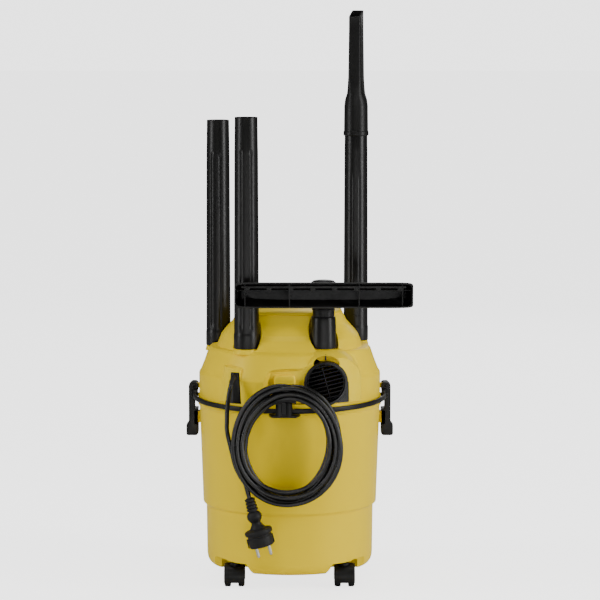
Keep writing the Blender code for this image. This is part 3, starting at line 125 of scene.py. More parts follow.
# Surfaces ---------------------------------------------------------------------------------------
def rounded(points, radius, steps=4, closed=False):
    """A line with its corners rounded: each corner becomes a quadratic curve that starts and ends
    the radius away from it along its two sides, or less where a side is short."""
    points = np.asarray(points, dtype=float)
    before = np.roll(points, 1, axis=0) - points
    after = np.roll(points, -1, axis=0) - points
    long_before = np.linalg.norm(before, axis=1, keepdims=True)
    long_after = np.linalg.norm(after, axis=1, keepdims=True)
    radius = np.broadcast_to(np.reshape(radius, (-1, 1)), (len(points), 1))
    cut = np.minimum(radius, 0.45 * np.minimum(long_before, long_after))
    one = points + before / np.maximum(long_before, 1e-9) * cut
    two = points + after / np.maximum(long_after, 1e-9) * cut
    t = np.linspace(0, 1, steps)[None, :, None]
    curve = (1 - t) ** 2 * one[:, None] + 2 * t * (1 - t) * points[:, None] + t ** 2 * two[:, None]
    if closed:
        return curve.reshape(-1, points.shape[1])
    return np.vstack([points[:1], curve[1:-1].reshape(-1, points.shape[1]), points[-1:]])


def span(sign, one, two):
    """Two distances on one side of the middle, the lower value first."""
    return sorted((sign * one, sign * two))


def placed(points, at=(0, 0, 0), turn=UP):
    """Points turned, then moved."""
    return np.asarray(points, dtype=float) @ np.asarray(turn).T + np.asarray(at, dtype=float)


def cleaned(mesh, near, outward=False):
    """Merges the mesh's doubles, drops what has no size, and can turn the faces outward."""
    bm = bmesh.new()
    bm.from_mesh(mesh)
    bmesh.ops.remove_doubles(bm, verts=bm.verts, dist=near)
    bmesh.ops.dissolve_degenerate(bm, edges=bm.edges, dist=1e-6)
    if outward:
        bmesh.ops.recalc_face_normals(bm, faces=bm.faces)
    bm.to_mesh(mesh)
    bm.free()


def mesh_object(name, points, faces, sharp=35):
    """A mesh object at the origin with doubles merged, faces outward, and smooth between the
    edges that are sharper than the angle."""
    mesh = bpy.data.meshes.new(name)
    mesh.from_pydata(np.asarray(points).reshape(-1, 3).tolist(), [], faces)
    cleaned(mesh, 2e-6, outward=True)
    return shaded(link(bpy.data.objects.new(name, mesh)), sharp)


def link(obj):
    bpy.context.scene.collection.objects.link(obj)
    return obj


def shaded(obj, sharp=35):
    obj.data.shade_smooth()
    obj.data.set_sharp_from_angle(angle=math.radians(sharp))
    return obj


def grid_faces(rows, columns, wrap_rows=False, wrap_columns=True):
    """The four-sided faces of a grid of points, joined round where it wraps."""
    r = np.arange(rows if wrap_rows else rows - 1)
    c = np.arange(columns if wrap_columns else columns - 1)
    r, c = np.meshgrid(r, c, indexing="ij")
    r2, c2 = (r + 1) % rows, (c + 1) % columns
    return np.stack([r * columns + c, r * columns + c2, r2 * columns + c2, r2 * columns + c],
                    axis=-1).reshape(-1, 4).tolist()


def turned(name, profile, at=(0, 0, 0), turn=UP, steps=72, ring=False):
    """A profile turned about its Z: the point at (angle, s) is (r(s) cos angle, r(s) sin angle,
    z(s)).  A profile that starts and ends on the axis closes there, and a ring closes on itself."""
    profile = np.asarray(profile, dtype=float)
    angle = np.linspace(0, 2 * math.pi, steps, endpoint=False)
    points = np.stack([profile[:, :1] * np.cos(angle), profile[:, :1] * np.sin(angle),
                       np.repeat(profile[:, 1:2], steps, axis=1)], axis=-1)
    return mesh_object(name, placed(points.reshape(-1, 3), at, turn),
                       grid_faces(len(profile), steps, wrap_rows=ring))


def lathe(name, points, radius, at=(0, 0, 0), turn=UP, steps=72, ring=False):
    """A profile given by its corners, rounded by the radius, and turned about its Z."""
    return turned(name, rounded(points, radius, closed=ring), at, turn, steps, ring)


def lofted(name, rings, at=(0, 0, 0), turn=UP, sharp=35):
    """A closed skin over a stack of rings of as many points: straight lines join ring to ring, and
    a flat face closes each end."""
    rings = np.asarray(rings, dtype=float)
    count, columns = rings.shape[:2]
    faces = grid_faces(count, columns)
    faces.append(list(range(columns))[::-1])
    faces.append(list(range((count - 1) * columns, count * columns)))
    return mesh_object(name, placed(rings.reshape(-1, 3), at, turn), faces, sharp)


def unit(vectors):
    """The vectors at length 1."""
    return vectors / np.maximum(np.linalg.norm(vectors, axis=1, keepdims=True), 1e-9)


def outward(outline, amount):
    """An outline in a plane moved outward along its corners' normals by the amount."""
    after = np.roll(outline, -1, axis=0)
    tangent = unit(unit(outline - np.roll(outline, 1, axis=0)) + unit(after - outline))
    normal = np.stack([tangent[:, 1], -tangent[:, 0]], axis=1)
    area = np.sum(outline[:, 0] * after[:, 1] - outline[:, 1] * after[:, 0])
    return outline + normal * amount * (1 if area > 0 else -1)


def slab(name, outline, depth, at=(0, 0, 0), turn=UP, corner=0.001, edge=0.0006):
    """An outline carried along its Z by depth, centred, its corners and its edges rounded: near
    each end the outline draws in by edge over a quarter circle."""
    outline = rounded(outline, corner, closed=True)
    t = np.linspace(0, math.pi / 2, 4)
    inset = edge * (1 - np.sin(t))
    height = depth / 2 - edge * (1 - np.cos(t))
    rings = []
    for z, draw in list(zip(-height, inset)) + list(zip(height, inset))[::-1]:
        ring = outward(outline, -draw)
        rings.append(np.column_stack([ring, np.full(len(ring), z)]))
    return lofted(name, rings, at, turn)


def superellipse(half_x, half_y, power, z=0.0, count=96):
    """A ring where |x / half_x| to the power plus |y / half_y| to the power is 1."""
    angle = np.linspace(0, 2 * math.pi, count, endpoint=False)
    cos, sin = np.cos(angle), np.sin(angle)
    return np.column_stack([half_x * np.sign(cos) * np.abs(cos) ** (2 / power),
                            half_y * np.sign(sin) * np.abs(sin) ** (2 / power),
                            np.full(count, z)])


def rod(name, radius, low, high, at=(0, 0, 0), turn=UP, edge=0.0, steps=48):
    """A round bar from low to high along its Z, the edges of its ends rounded."""
    return lathe(name, [(0.0, high), (radius, high), (radius, low), (0.0, low)], edge, at, turn,
                 steps)


def block(name, low, high, at=(0, 0, 0), turn=UP, edge=0.0006):
    """A bar with six flat sides between two corners, its edges rounded."""
    low, high = np.asarray(low, dtype=float), np.asarray(high, dtype=float)
    middle, half = (low + high) / 2, (high - low) / 2
    outline = [(-half[0], -half[1]), (half[0], -half[1]), (half[0], half[1]), (-half[0], half[1])]
    return slab(name, outline, 2 * half[2], placed(middle, at, turn), turn, edge, edge)


def swept(name, path, section, normals):
    """A section carried along a path: its x lies along the given normal at each point, and its y
    along the path's direction crossed with that normal."""
    path, normals = np.asarray(path, dtype=float), np.asarray(normals, dtype=float)
    direction = np.gradient(path, axis=0)
    direction /= np.linalg.norm(direction, axis=1, keepdims=True)
    side = np.cross(direction, normals)
    side /= np.linalg.norm(side, axis=1, keepdims=True)
    normals = np.cross(side, direction)
    section = np.asarray(section, dtype=float)
    if section.ndim == 2:
        section = np.repeat(section[None], len(path), axis=0)
    points = path[:, None] + normals[:, None] * section[..., :1] + side[:, None] * section[..., 1:]
    return lofted(name, points)


def carve(obj, operation, *others):
    """The object with the others cut away from it or joined to it, as one plain mesh."""
    for other in others:
        change = obj.modifiers.new(operation, "BOOLEAN")
        change.operation = operation
        change.solver = "MANIFOLD"
        change.object = other
    graph = bpy.context.evaluated_depsgraph_get()
    mesh = bpy.data.meshes.new_from_object(obj.evaluated_get(graph))
    obj.modifiers.clear()
    old = obj.data
    obj.data = mesh
    bpy.data.meshes.remove(old)
    for other in others:
        bpy.data.objects.remove(other, do_unlink=True)
    cleaned(mesh, 1e-6)
    return shaded(obj)


def cut(obj, *others):
    return carve(obj, "DIFFERENCE", *others)


def join(obj, *others):
    return carve(obj, "UNION", *others)


def bevelled(obj, width=0.0006, segments=2, degrees=40):
    """Rounds the edges that are sharper than the angle."""
    edge = obj.modifiers.new("rounded_edges", "BEVEL")
    edge.width = width
    edge.segments = segments
    edge.limit_method = "ANGLE"
    edge.angle_limit = math.radians(degrees)


def done(obj, look, body="cleaner", nodes=()):
    """Gives a piece its finish and its body, and says which CAD nodes it stands for."""
    obj.data.materials.clear()
    obj.data.materials.append(finish(look))
    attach(obj, body)
    if nodes:
        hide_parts(*nodes)
    return obj


# Materials --------------------------------------------------------------------------------------
class Nodes:
    """A short way to add and join shader nodes in one tree."""

    def __init__(self, tree):
        self.tree = tree

    def add(self, kind, settings=None, **inputs):
        """A new node with its settings and its inputs."""
        node = self.tree.nodes.new(kind)
        for key, value in (settings or {}).items():
            setattr(node, key, value)
        for key, value in inputs.items():
            self.feed(node, key.replace("_", " "), value)
        return node

    def feed(self, node, key, value):
        """Links an output to the input of that name or number, or sets a plain value there."""
        socket = node.inputs[key]
        if isinstance(value, bpy.types.NodeSocket):
            self.tree.links.new(value, socket)
        else:
            socket.default_value = value

    def math(self, operation, *values):
        """The result of one sum on the values."""
        node = self.add("ShaderNodeMath", {"operation": operation})
        for i, value in enumerate(values):
            self.feed(node, i, value)
        return node.outputs[0]

    def product(self, *values):
        """All the values multiplied."""
        result = values[0]
        for value in values[1:]:
            result = self.math("MULTIPLY", result, value)
        return result

    def ramp(self, value, low, high):
        """0 below low and 1 above high, straight between them."""
        return self.add("ShaderNodeMapRange", {"clamp": True}, Value=value, From_Min=low,
                        From_Max=high).outputs["Result"]

    def mix(self, factor, one, two):
        """A colour between two colours."""
        node = self.add("ShaderNodeMix", {"data_type": "RGBA"})
        for i, value in ((0, factor), (6, one), (7, two)):
            self.feed(node, i, value)
        return node.outputs[2]

    def place(self):
        """The point in the object's own coordinates."""
        return self.add("ShaderNodeTexCoord").outputs["Object"]

    def noise(self, where, scale, detail, **inputs):
        """Noise between 0 and 1 at a point."""
        return self.add("ShaderNodeTexNoise", Vector=where, Scale=scale, Detail=detail,
                        **inputs).outputs["Fac"]

    def bump(self, shader, strength, distance, height):
        """Feeds the shader a normal bumped by the height."""
        node = self.add("ShaderNodeBump", Strength=strength, Distance=distance, Height=height)
        self.feed(shader, "Normal", node.outputs["Normal"])


def group(name, inputs, outputs):
    """An empty node group with named float and colour sockets."""
    tree = bpy.data.node_groups.new(name, "ShaderNodeTree")
    kinds = {"float": "NodeSocketFloat", "colour": "NodeSocketColor"}
    for label, (kind, value) in inputs.items():
        socket = tree.interface.new_socket(name=label, in_out="INPUT", socket_type=kinds[kind])
        socket.default_value = value
    for label, kind in outputs.items():
        tree.interface.new_socket(name=label, in_out="OUTPUT", socket_type=kinds[kind])
    given = tree.nodes.new("NodeGroupInput").outputs
    return tree, Nodes(tree), given, tree.nodes.new("NodeGroupOutput")


def grain_group():
    """Moulded grain: fine and coarse noise added into one height, and the roughness they give."""
    tree, n, given, out = group(
        "moulded_grain",
        {"Scale": ("float", 900.0), "Roughness": ("float", 0.4), "Variation": ("float", 0.1)},
        {"Height": "float", "Roughness": "float"})
    where = n.place()
    pits = n.add("ShaderNodeTexVoronoi", Vector=where, Scale=given["Scale"]).outputs["Distance"]
    n.feed(out, "Height", n.math("ADD", n.noise(where, given["Scale"], 2.0), n.product(pits, 0.5)))
    spread = n.math("SUBTRACT", n.noise(where, 14.0, 4.0, Roughness=0.6), 0.5)
    n.feed(out, "Roughness", n.math("MULTIPLY_ADD", spread, given["Variation"], given["Roughness"]))
    return tree


def wear_group():
    """Edge wear: the sharp outer edges, broken up by noise, take a lighter colour."""
    tree, n, given, out = group(
        "edge_wear",
        {"Colour": ("colour", (0.5, 0.5, 0.5, 1)), "Worn": ("colour", (0.8, 0.8, 0.8, 1)),
         "Amount": ("float", 0.4)},
        {"Colour": "colour"})
    edge = n.ramp(n.add("ShaderNodeNewGeometry").outputs["Pointiness"], 0.515, 0.6)
    mask = n.product(edge, n.ramp(n.noise(n.place(), 60.0, 5.0), 0.35, 0.65), given["Amount"])
    n.feed(out, "Colour", n.mix(mask, given["Colour"], given["Worn"]))
    return tree


def dust_group():
    """Dust: what faces up, broken up by two noises, turns a little paler and rougher."""
    tree, n, given, out = group(
        "settled_dust",
        {"Colour": ("colour", (0.5, 0.5, 0.5, 1)), "Dust": ("colour", (0.6, 0.57, 0.5, 1)),
         "Amount": ("float", 0.1), "Roughness": ("float", 0.4)},
        {"Colour": "colour", "Roughness": "float"})
    normal = n.add("ShaderNodeNewGeometry").outputs["Normal"]
    up = n.add("ShaderNodeSeparateXYZ", Vector=normal).outputs["Z"]
    where = n.place()
    mask = n.product(
        n.ramp(up, 0.2, 1.0), n.ramp(n.noise(where, 35.0, 6.0, Roughness=0.65), 0.4, 0.7),
        n.ramp(n.noise(where, 700.0, 1.0), 0.35, 0.6), given["Amount"])
    n.feed(out, "Colour", n.mix(mask, given["Colour"], given["Dust"]))
    n.feed(out, "Roughness", n.math("MAXIMUM", given["Roughness"], n.product(mask, 0.9)))
    return tree


GROUPS = {}


def shared(n, make, **inputs):
    """A node of the group that make builds, which is built once."""
    if make not in GROUPS:
        GROUPS[make] = make()
    return n.add("ShaderNodeGroup", {"node_tree": GROUPS[make]}, **inputs).outputs


def material(name):
    """A new material, its nodes, its shader and its object coordinates."""
    made = bpy.data.materials.new(name)
    made.use_nodes = True
    n = Nodes(made.node_tree)
    return made, n, made.node_tree.nodes["Principled BSDF"], n.place()


def moulded(name, colour, worn, roughness=0.4, variation=0.12, scale=900.0, bump=0.05, wear=0.3,
            dust=0.08, tint=0.05, specular=0.5, reflected=(1, 1, 1)):
    """A moulded finish: broad colour variation, then wear on the edges, then dust on top, over a
    fine grain."""
    made, n, shader, where = material(name)
    darker = tuple(value * (1 - tint) for value in colour)
    lighter = tuple(min(1.0, value * (1 + tint)) for value in colour)
    base = n.mix(n.ramp(n.noise(where, 7.0, 3.0), 0.3, 0.7), (*darker, 1), (*lighter, 1))
    grain = shared(n, grain_group, Scale=scale, Roughness=roughness, Variation=variation)
    edges = shared(n, wear_group, Colour=base, Worn=(*worn, 1), Amount=wear)
    settled = shared(n, dust_group, Colour=edges["Colour"], Amount=dust,
                     Roughness=grain["Roughness"])
    n.feed(shader, "Base Color", settled["Colour"])
    n.feed(shader, "Roughness", settled["Roughness"])
    n.bump(shader, bump, 0.0004, grain["Height"])
    shader.inputs["Specular IOR Level"].default_value = specular
    shader.inputs["Specular Tint"].default_value = (*reflected, 1)
    return made


def brushed(name, colour, roughness=0.28):
    """Plated metal with fine lines along it: noise stretched along Z sets roughness and bump."""
    made, n, shader, where = material(name)
    long = n.add("ShaderNodeMapping", Vector=where)
    long.inputs["Scale"].default_value = (900.0, 900.0, 40.0)
    lines = n.noise(long.outputs[0], 1.0, 3.0)
    shader.inputs["Base Color"].default_value = (*colour, 1)
    shader.inputs["Metallic"].default_value = 1.0
    n.feed(shader, "Roughness", n.math("MULTIPLY_ADD", lines, 0.25, roughness))
    n.bump(shader, 0.08, 0.0002, lines)
    return made


def pleated_paper():
    """Filter paper: pleats round the cartridge as a wave of the angle about Z, and fibre noise."""
    made, n, shader, where = material("pleated_paper_painted_fold_shade")
    apart = n.add("ShaderNodeSeparateXYZ", Vector=where)
    angle = n.math("ARCTAN2", apart.outputs["Y"], apart.outputs["X"])
    pleat = n.math("SINE", n.product(angle, 90.0))
    fibre = n.product(n.noise(where, 900.0, 4.0), 0.15)
    # painted shade: the paper is darker in the pleat folds and paler on the crests
    paper = n.mix(n.ramp(pleat, -1.0, 1.0), (0.5, 0.46, 0.36, 1), (0.8, 0.76, 0.64, 1))
    n.feed(shader, "Base Color", paper)
    shader.inputs["Roughness"].default_value = 0.95
    n.bump(shader, 0.8, 0.0015, n.math("MULTIPLY_ADD", pleat, 0.5, fibre))
    return made


def wound_copper():
    """Enamelled wire: rings of wire along Z as a wave of the height."""
    made, n, shader, where = material("wound_copper")
    height = n.add("ShaderNodeSeparateXYZ", Vector=where).outputs["Z"]
    wire = n.math("SINE", n.product(height, 7000.0))
    # painted shade: the copper is darker in the grooves between the turns and lighter on their
    # crests
    copper = n.mix(n.ramp(wire, -1.0, 1.0), (0.28, 0.09, 0.03, 1), (0.62, 0.26, 0.1, 1))
    n.feed(shader, "Base Color", copper)
    shader.inputs["Metallic"].default_value = 0.9
    shader.inputs["Roughness"].default_value = 0.35
    n.bump(shader, 0.6, 0.0004, wire)
    return made


FINISHES = {}

# Black finishes: name, share of the fittings' colour, worn colour, and moulded()'s other values.
BLACKS = {
    "black": ("black_moulded_plastic", 1.0, (0.05, 0.05, 0.05),
              {"bump": 0.08, "dust": 0.015, "tint": 0.12, "specular": 0.25}),
    "tube": ("black_tube_plastic", 0.9, (0.05, 0.05, 0.05),
             {"roughness": 0.34, "variation": 0.1, "scale": 700.0, "dust": 0.01, "tint": 0.1,
              "specular": 0.3}),
    "rubber": ("black_soft_rubber", 1.1, (0.05, 0.05, 0.048),
               {"roughness": 0.55, "variation": 0.14, "scale": 1300.0, "bump": 0.12,
                "dust": 0.03, "tint": 0.15, "specular": 0.3}),
    "cord": ("black_cord_sheath", 0.95, (0.04, 0.04, 0.04),
             {"roughness": 0.27, "variation": 0.1, "scale": 1500.0, "wear": 0.2, "dust": 0.01,
              "tint": 0.12}),
    "inside": ("dark_inner_plastic", 0.5, (0.03, 0.03, 0.03),
               {"roughness": 0.6, "variation": 0.1, "bump": 0.1, "wear": 0.2, "dust": 0.05}),
}


def make_finish(name):
    """One finish by its short name."""
    colours = bpy.context.scene.vacuum_colours
    if name in BLACKS:
        label, share, worn, values = BLACKS[name]
        return moulded(label, tuple(v * share for v in colours.black), worn, **values)
    if name == "yellow":
        return moulded("yellow_shell_plastic", tuple(colours.shell), (1.0, 0.8, 0.1),
                       roughness=0.36, variation=0.08, scale=1100.0, bump=0.03, wear=0.2, dust=0.0,
                       tint=0.02, specular=0.35, reflected=(1.0, 0.9, 0.3))
    if name == "steel":
        return brushed("plated_steel", (0.5, 0.5, 0.48))
    if name == "paper":
        return pleated_paper()
    if name == "copper":
        return wound_copper()
    raise ValueError(f"no finish is called {name}")


def finish(name):
    """One of this cleaner's finishes, made the first time it is asked for."""
    if name not in FINISHES:
        FINISHES[name] = make_finish(name)
    return FINISHES[name]


# Sizes and colours ------------------------------------------------------------------------------
class VacuumColours(bpy.types.PropertyGroup):
    """Colours of the mouldings."""
    shell: bpy.props.FloatVectorProperty(
        name="Shell", description="Colour of the drum and the head", subtype="COLOR", size=3,
        min=0, max=1, default=(0.95, 0.675, 0.001))
    black: bpy.props.FloatVectorProperty(
        name="Fittings", description="Colour of the tubes, the fittings and the cord",
        subtype="COLOR", size=3, min=0, max=1, default=(0.0045, 0.0044, 0.004))
    floor: bpy.props.FloatVectorProperty(
        name="Floor", description="Colour of the floor", subtype="COLOR", size=3, min=0, max=1,
        default=(0.75, 0.75, 0.75))


class VacuumSizes(bpy.types.PropertyGroup):
    """Sizes of the details that don't have to match a CAD solid."""
    recess_floor: bpy.props.FloatProperty(
        name="Recess floor", description="Distance of the flat at the head's back from the middle",
        unit="LENGTH", default=0.1252, min=0.12, max=0.135)
    turns: bpy.props.IntProperty(
        name="Cord turns", description="Whole turns of the cord on its hook", default=8, min=5,
        max=9)
    cord_diameter: bpy.props.FloatProperty(
        name="Cord diameter", description="Outside of the mains lead", unit="LENGTH",
        default=0.0068, min=0.005, max=0.008)
    louvre_turn: bpy.props.FloatProperty(
        name="Louvre slope", description="Slope of the bars in the blower port",
        subtype="ANGLE", default=math.radians(15))


class VacuumStage(bpy.types.PropertyGroup):
    """The camera and the light."""
    camera_height: bpy.props.FloatProperty(
        name="Camera height", description="Height of the camera above the floor", unit="LENGTH",
        default=0.924)
    camera_distance: bpy.props.FloatProperty(
        name="Camera distance", description="Distance of the camera behind the cleaner",
        unit="LENGTH", default=4.6)
    camera_across: bpy.props.FloatProperty(
        name="Camera across", description="Camera's place across the cleaner", unit="LENGTH",
        default=0.016)
    camera_down: bpy.props.FloatProperty(
        name="Camera tilt", description="How far the camera looks down", subtype="ANGLE",
        default=math.radians(6.1))
    lens: bpy.props.FloatProperty(
        name="Lens", description="Focal length in millimetres on a 36 mm sensor", default=180.0)
    light: bpy.props.FloatProperty(
        name="Light", description="Strength of the studio light", default=1.0, min=0.0)


def sizes():
    return bpy.context.scene.vacuum_sizes


# Drum -------------------------------------------------------------------------------------------
def drum_profile(inset):
    """The drum's side from its rim down, moved in by inset."""
    corners = [(0.0002, RIM_Z), (0.0008, RIM_Z - 0.012), (0.006, STEP_Z + 0.003),
               (0.0108, STEP_Z - 0.0012), (0.0118, DRUM_BOTTOM + 0.014),
               (0.0135, DRUM_BOTTOM + 0.006), (0.0187, DRUM_BOTTOM + inset)]
    return [(HEAD_R - back - inset, z) for back, z in corners]


def build_drum():
    """The drum: a turned skin with a beaded rim and a step, hollow, with a pocket over each
    caster and a catch for each latch."""
    bead, skin, mouth = HEAD_R + 0.0015, 0.0026, HEAD_R - 0.0057
    shape = lathe("drum_shell", [(0.0, RIM_Z), (bead, RIM_Z), (bead, RIM_Z - 0.008),
                                 (HEAD_R - 0.0002, RIM_Z - 0.0092), *drum_profile(0.0)[1:],
                                 (0.0, DRUM_BOTTOM)],
                  [0.0, 0.0008, 0.0008, 0.0006, 0.004, 0.001, 0.001, 0.006, 0.004, 0.004, 0.0],
                  steps=160)
    for sign in (-1, 1):
        near, far = span(sign, HEAD_R - 0.006, HEAD_R + 0.0053)
        join(shape, block("catch", (near, LATCH_MIDDLE - 0.011, CATCH_LOW),
                          (far, LATCH_MIDDLE + 0.011, CATCH_HIGH), edge=0.0012))
    hollow = lathe("hollow", [(0.0, RIM_Z + 0.01), (mouth, RIM_Z + 0.01), (mouth, RIM_Z - 0.01),
                              *drum_profile(skin)[1:], (0.0, DRUM_BOTTOM + skin)],
                   0.003, steps=120)
    sweep = TRAIL + WHEEL_R + HOOD_WALL + 0.0045      # what a caster swings past, with room
    ceiling = 2 * WHEEL_R + 0.0072
    # A pocket opens through the drum's side: it is cut again in two places further out.
    pockets = [((x, y, 0), [(x * a, y * b, 0) for a, b in ((1.32, 1.32), (1.5, 1.0))])
               for x, y in CASTERS.values()]
    for at, mouths in pockets:
        cut(hollow, rod("kept", sweep + 0.0095, 0.0, ceiling + skin, at),
            *[rod("kept_mouth", sweep + 0.0095, 0.0, ceiling + 0.0058, out) for out in mouths],
            rod("boss", 0.0082, ceiling, ceiling + 0.023, at, steps=24))
    cut(shape, hollow)
    side = rounded([(0.0, ceiling), (sweep, ceiling), (sweep + 0.0085, 0.02), (0.0, 0.02)], 0.003)
    for at, mouths in pockets:
        cut(shape, turned("pocket", side, at, steps=64),
            *[turned("pocket_mouth", side + (0, 0.0032), out, steps=64) for out in mouths],
            rod("socket", 0.0046, ceiling - 0.002, ceiling + 0.02, at, steps=24))
    x, _, z = INLET_AT
    cut(shape, rod("inlet_hole", 0.0243, HEAD_R - 0.04, HEAD_R + 0.02, (x, 0, z), FRONT))
    bevelled(shape, 0.0005, 1, 50)
    done(shape, "yellow", nodes=["drum"])


def build_inlet():
    """The flanged hose socket in the drum's front."""
    inlet = lathe("hose_inlet_socket", [
        (0.0178, 0.022), (0.022, 0.022), (0.025, 0.019), (0.025, 0.009), (0.033, 0.007),
        (0.033, 0.0035), (0.024, 0.0035), (0.024, -0.02), (0.0178, -0.02)],
        0.0008, INLET_AT, FRONT, 96, ring=True)
    join(inlet, *[block("ear", (x - 0.004, -0.002, 0.004), (x + 0.004, 0.002, 0.0145), INLET_AT,
                        FRONT) for x in (-0.026, 0.026)])
    done(inlet, "black", nodes=["hose_inlet"])


# Casters ----------------------------------------------------------------------------------------
def build_caster(name, x, y):
    """A hood with its stem on the swivel's body, and twin wheels with a hub and a tread."""
    play = 0.0008
    axle = (x, y + (TRAIL if y < 0 else -TRAIL), WHEEL_R)
    reach = WHEEL_R + play + HOOD_WALL
    half = CASTER_W / 2
    hood = lathe(f"caster_fork_{name}", [(0.0, half), (reach, half), (reach, -half), (0.0, -half)],
                 0.0022, axle, RIGHT)
    under = block("under", (-0.03, -0.04, -0.05), (0.03, 0.04, WHEEL_R - 0.008), (x, y, 0),
                  edge=0.0)
    web = (CASTER_W - 2 * WHEEL_W) / 2 - play
    cut(hood, under, *[rod("well", WHEEL_R + play, *span(sign, web, 0.03), axle, RIGHT, steps=64)
                       for sign in (-1, 1)])
    top, collar, foot = 2 * WHEEL_R + 0.0037, 2 * WHEEL_R + 0.0014, WHEEL_R + 0.0058
    join(hood, lathe("stem", [(0.0, top + 0.023), (0.0042, top + 0.023), (0.0042, top + 0.002),
                              (0.0072, top + 0.0015), (0.0072, collar), (0.0042, collar),
                              (0.0042, foot), (0.0, foot)], 0.0007, (x, y, 0), steps=36))
    cut(hood, rod("axle_hole", 0.0032, -0.03, 0.03, axle, RIGHT, steps=24))
    bevelled(hood, 0.0004)
    done(hood, "black", f"caster_{name}", [f"caster_hood_{name}"])
    out = half - 0.0006
    inner = out - WHEEL_W
    middle = (out + inner) / 2
    side = [(0.0, out - 0.0006), (0.0045, out - 0.0006), (0.0052, out - 0.0018),
            (0.0095, out - 0.0018), (0.0105, out), (WHEEL_R - 0.0018, out),
            (WHEEL_R, out - 0.0022), (WHEEL_R, middle + 0.0007), (WHEEL_R - 0.0006, middle),
            (WHEEL_R, middle - 0.0007), (WHEEL_R, inner + 0.0015), (WHEEL_R - 0.0012, inner),
            (0.0028, inner)]
    wheels = lathe(f"caster_twin_wheels_{name}", side + [(r, -z) for r, z in reversed(side)],
                   0.0005, axle, RIGHT)
    done(wheels, "rubber", f"wheels_{name}", [f"caster_wheels_{name}"])


def build_casters():
    """The four casters."""
    for name, (x, y) in CASTERS.items():
        build_caster(name, x, y)


# Head -------------------------------------------------------------------------------------------
def head_levels(inset=0.0):
    """(height, half width in X, half width in Y, squareness) up the outside, moved in by inset."""
    r = HEAD_R
    levels = [
        (0.281, r + 0.0015, r + 0.0015, 2.0), (0.287, r + 0.0015, r + 0.0015, 2.0),
        (0.2885, r, r, 2.0), (LIP_Z, r, r, 2.0), (0.326, r - 0.0027, r - 0.0027, 2.0),
        (0.3405, r - 0.0085, r - 0.0085, 2.0), (0.3595, r - 0.015, r - 0.0195, 2.05),
        (0.363, r - 0.0185, r - 0.0235, 2.1), (0.3645, r - 0.028, r - 0.0262, 2.2),
        (0.38, r - 0.034, r - 0.0395, 2.5), (0.3868, r - 0.039, r - 0.0466, 2.7),
        (0.401, r - 0.052, r - 0.0556, 2.8), (0.415, r - 0.0586, r - 0.0662, 2.8),
        (0.4158, r - 0.0606, r - 0.0682, 2.8), (0.4166, r - 0.0588, r - 0.0666, 2.8),
        (TOP_Z, r - 0.064, r - 0.072, 2.8)]
    if not inset:
        return levels
    inner = [(z - inset if z > LIP_Z + 0.001 else z, a - inset, b - inset, p)
             for z, a, b, p in levels[3:]]
    return [(0.276, r - 0.0015, r - 0.0015, 2.0), (0.287, r - 0.0015, r - 0.0015, 2.0),
            (0.2885, r - inset, r - inset, 2.0), *inner]


def head_skin(name, levels, radius, count):
    """The head's skin: at each height a superellipse, with the corners of its side view rounded."""
    return lofted(name, [superellipse(a, b, p, z, count)
                         for z, a, b, p in rounded(levels, radius, steps=5)])


def round_port(radius, degrees, count):
    """An arc round the blower port as (across, up), from its right side anticlockwise."""
    angle = np.radians(np.linspace(0, degrees, count))
    return np.column_stack([PORT_X + radius * np.cos(angle), PORT_Z + radius * np.sin(angle)])


def recess_outline(grow):
    """The outline round the blower port and the recess beside it, as (across, up): round the port,
    then down a slope to the recess's top, its left side and its foot, grown outward."""
    radius = 0.04
    arc = round_port(radius, 118, 28)
    left = rounded([tuple(arc[-1]), (0.0205, 0.3385), (-0.0285, 0.336), (-0.0365, FOOT_Z)],
                   [0, 0.006, 0.004, 0.0])
    outline = outward(np.vstack([arc, left[1:], [(PORT_X + radius, FOOT_Z)]]), grow)
    return np.column_stack([outline[:, 0], np.maximum(outline[:, 1], FOOT_Z)])


def flat_prism(name, sections):
    """A loft of (outline, y) sections, each outline as (across, up), going towards -Y."""
    rings = [np.column_stack([outline[:, 0], np.full(len(outline), y), outline[:, 1]])
             for outline, y in sections]
    return lofted(name, rings, sharp=28)


def bail_way():
    """What the bail sweeps past: a ring round the head that trims whatever stands in it."""
    near, far = 0.1441, 0.22
    way = turned("bail_way", [(near, 0.05), (far, 0.05), (far, -0.05), (near, -0.05)],
                 (0, 0, 0.319), steps=160, ring=True)
    way.data.transform(Matrix.Diagonal((1.0, 0.97, 1.0, 1.0)))
    return way


def recess_cutter(floor):
    """The recess: its outline on the flat floor, growing wider towards the outside."""
    return flat_prism("recess", [(recess_outline(grow), -(floor + out)) for out, grow in
                                 ((0.0, 0.0), (0.007, 0.0072), (0.027, 0.0285))])


def port_collar(floor):
    """The flat's edge where it stands proud of the wall at the port's right: an arch that widens
    towards the wall."""
    foot = FOOT_Z + 0.0002
    sections = [(np.vstack([round_port(radius, 180, 48), [(PORT_X - radius, foot),
                                                          (PORT_X + radius, foot)]]),
                 -(floor - back))
                for back, radius in ((0.042, 0.0535), (0.029, 0.052), (0.015, 0.0485),
                                     (0.0008, 0.0396), (0.0, 0.0385))]
    return flat_prism("collar", sections)


def gland_mount():
    """The facets round the cord's gland: a tapering block that stands a little off the wall."""
    x = GLAND_X + 0.0015
    sections = []
    for y, grow in ((-0.094, 0.012), (-0.1095, 0.0075), (-0.116, 0.0)):
        top, slope = 0.3375 + grow * 0.5, grow * 0.6
        sections.append((np.array([(x + 0.0135 + grow, FOOT_Z), (x + 0.0085 + slope, top),
                                   (x - 0.008 - slope, top), (x - 0.012 - grow, FOOT_Z)]), y))
    return flat_prism("gland_mount", sections)


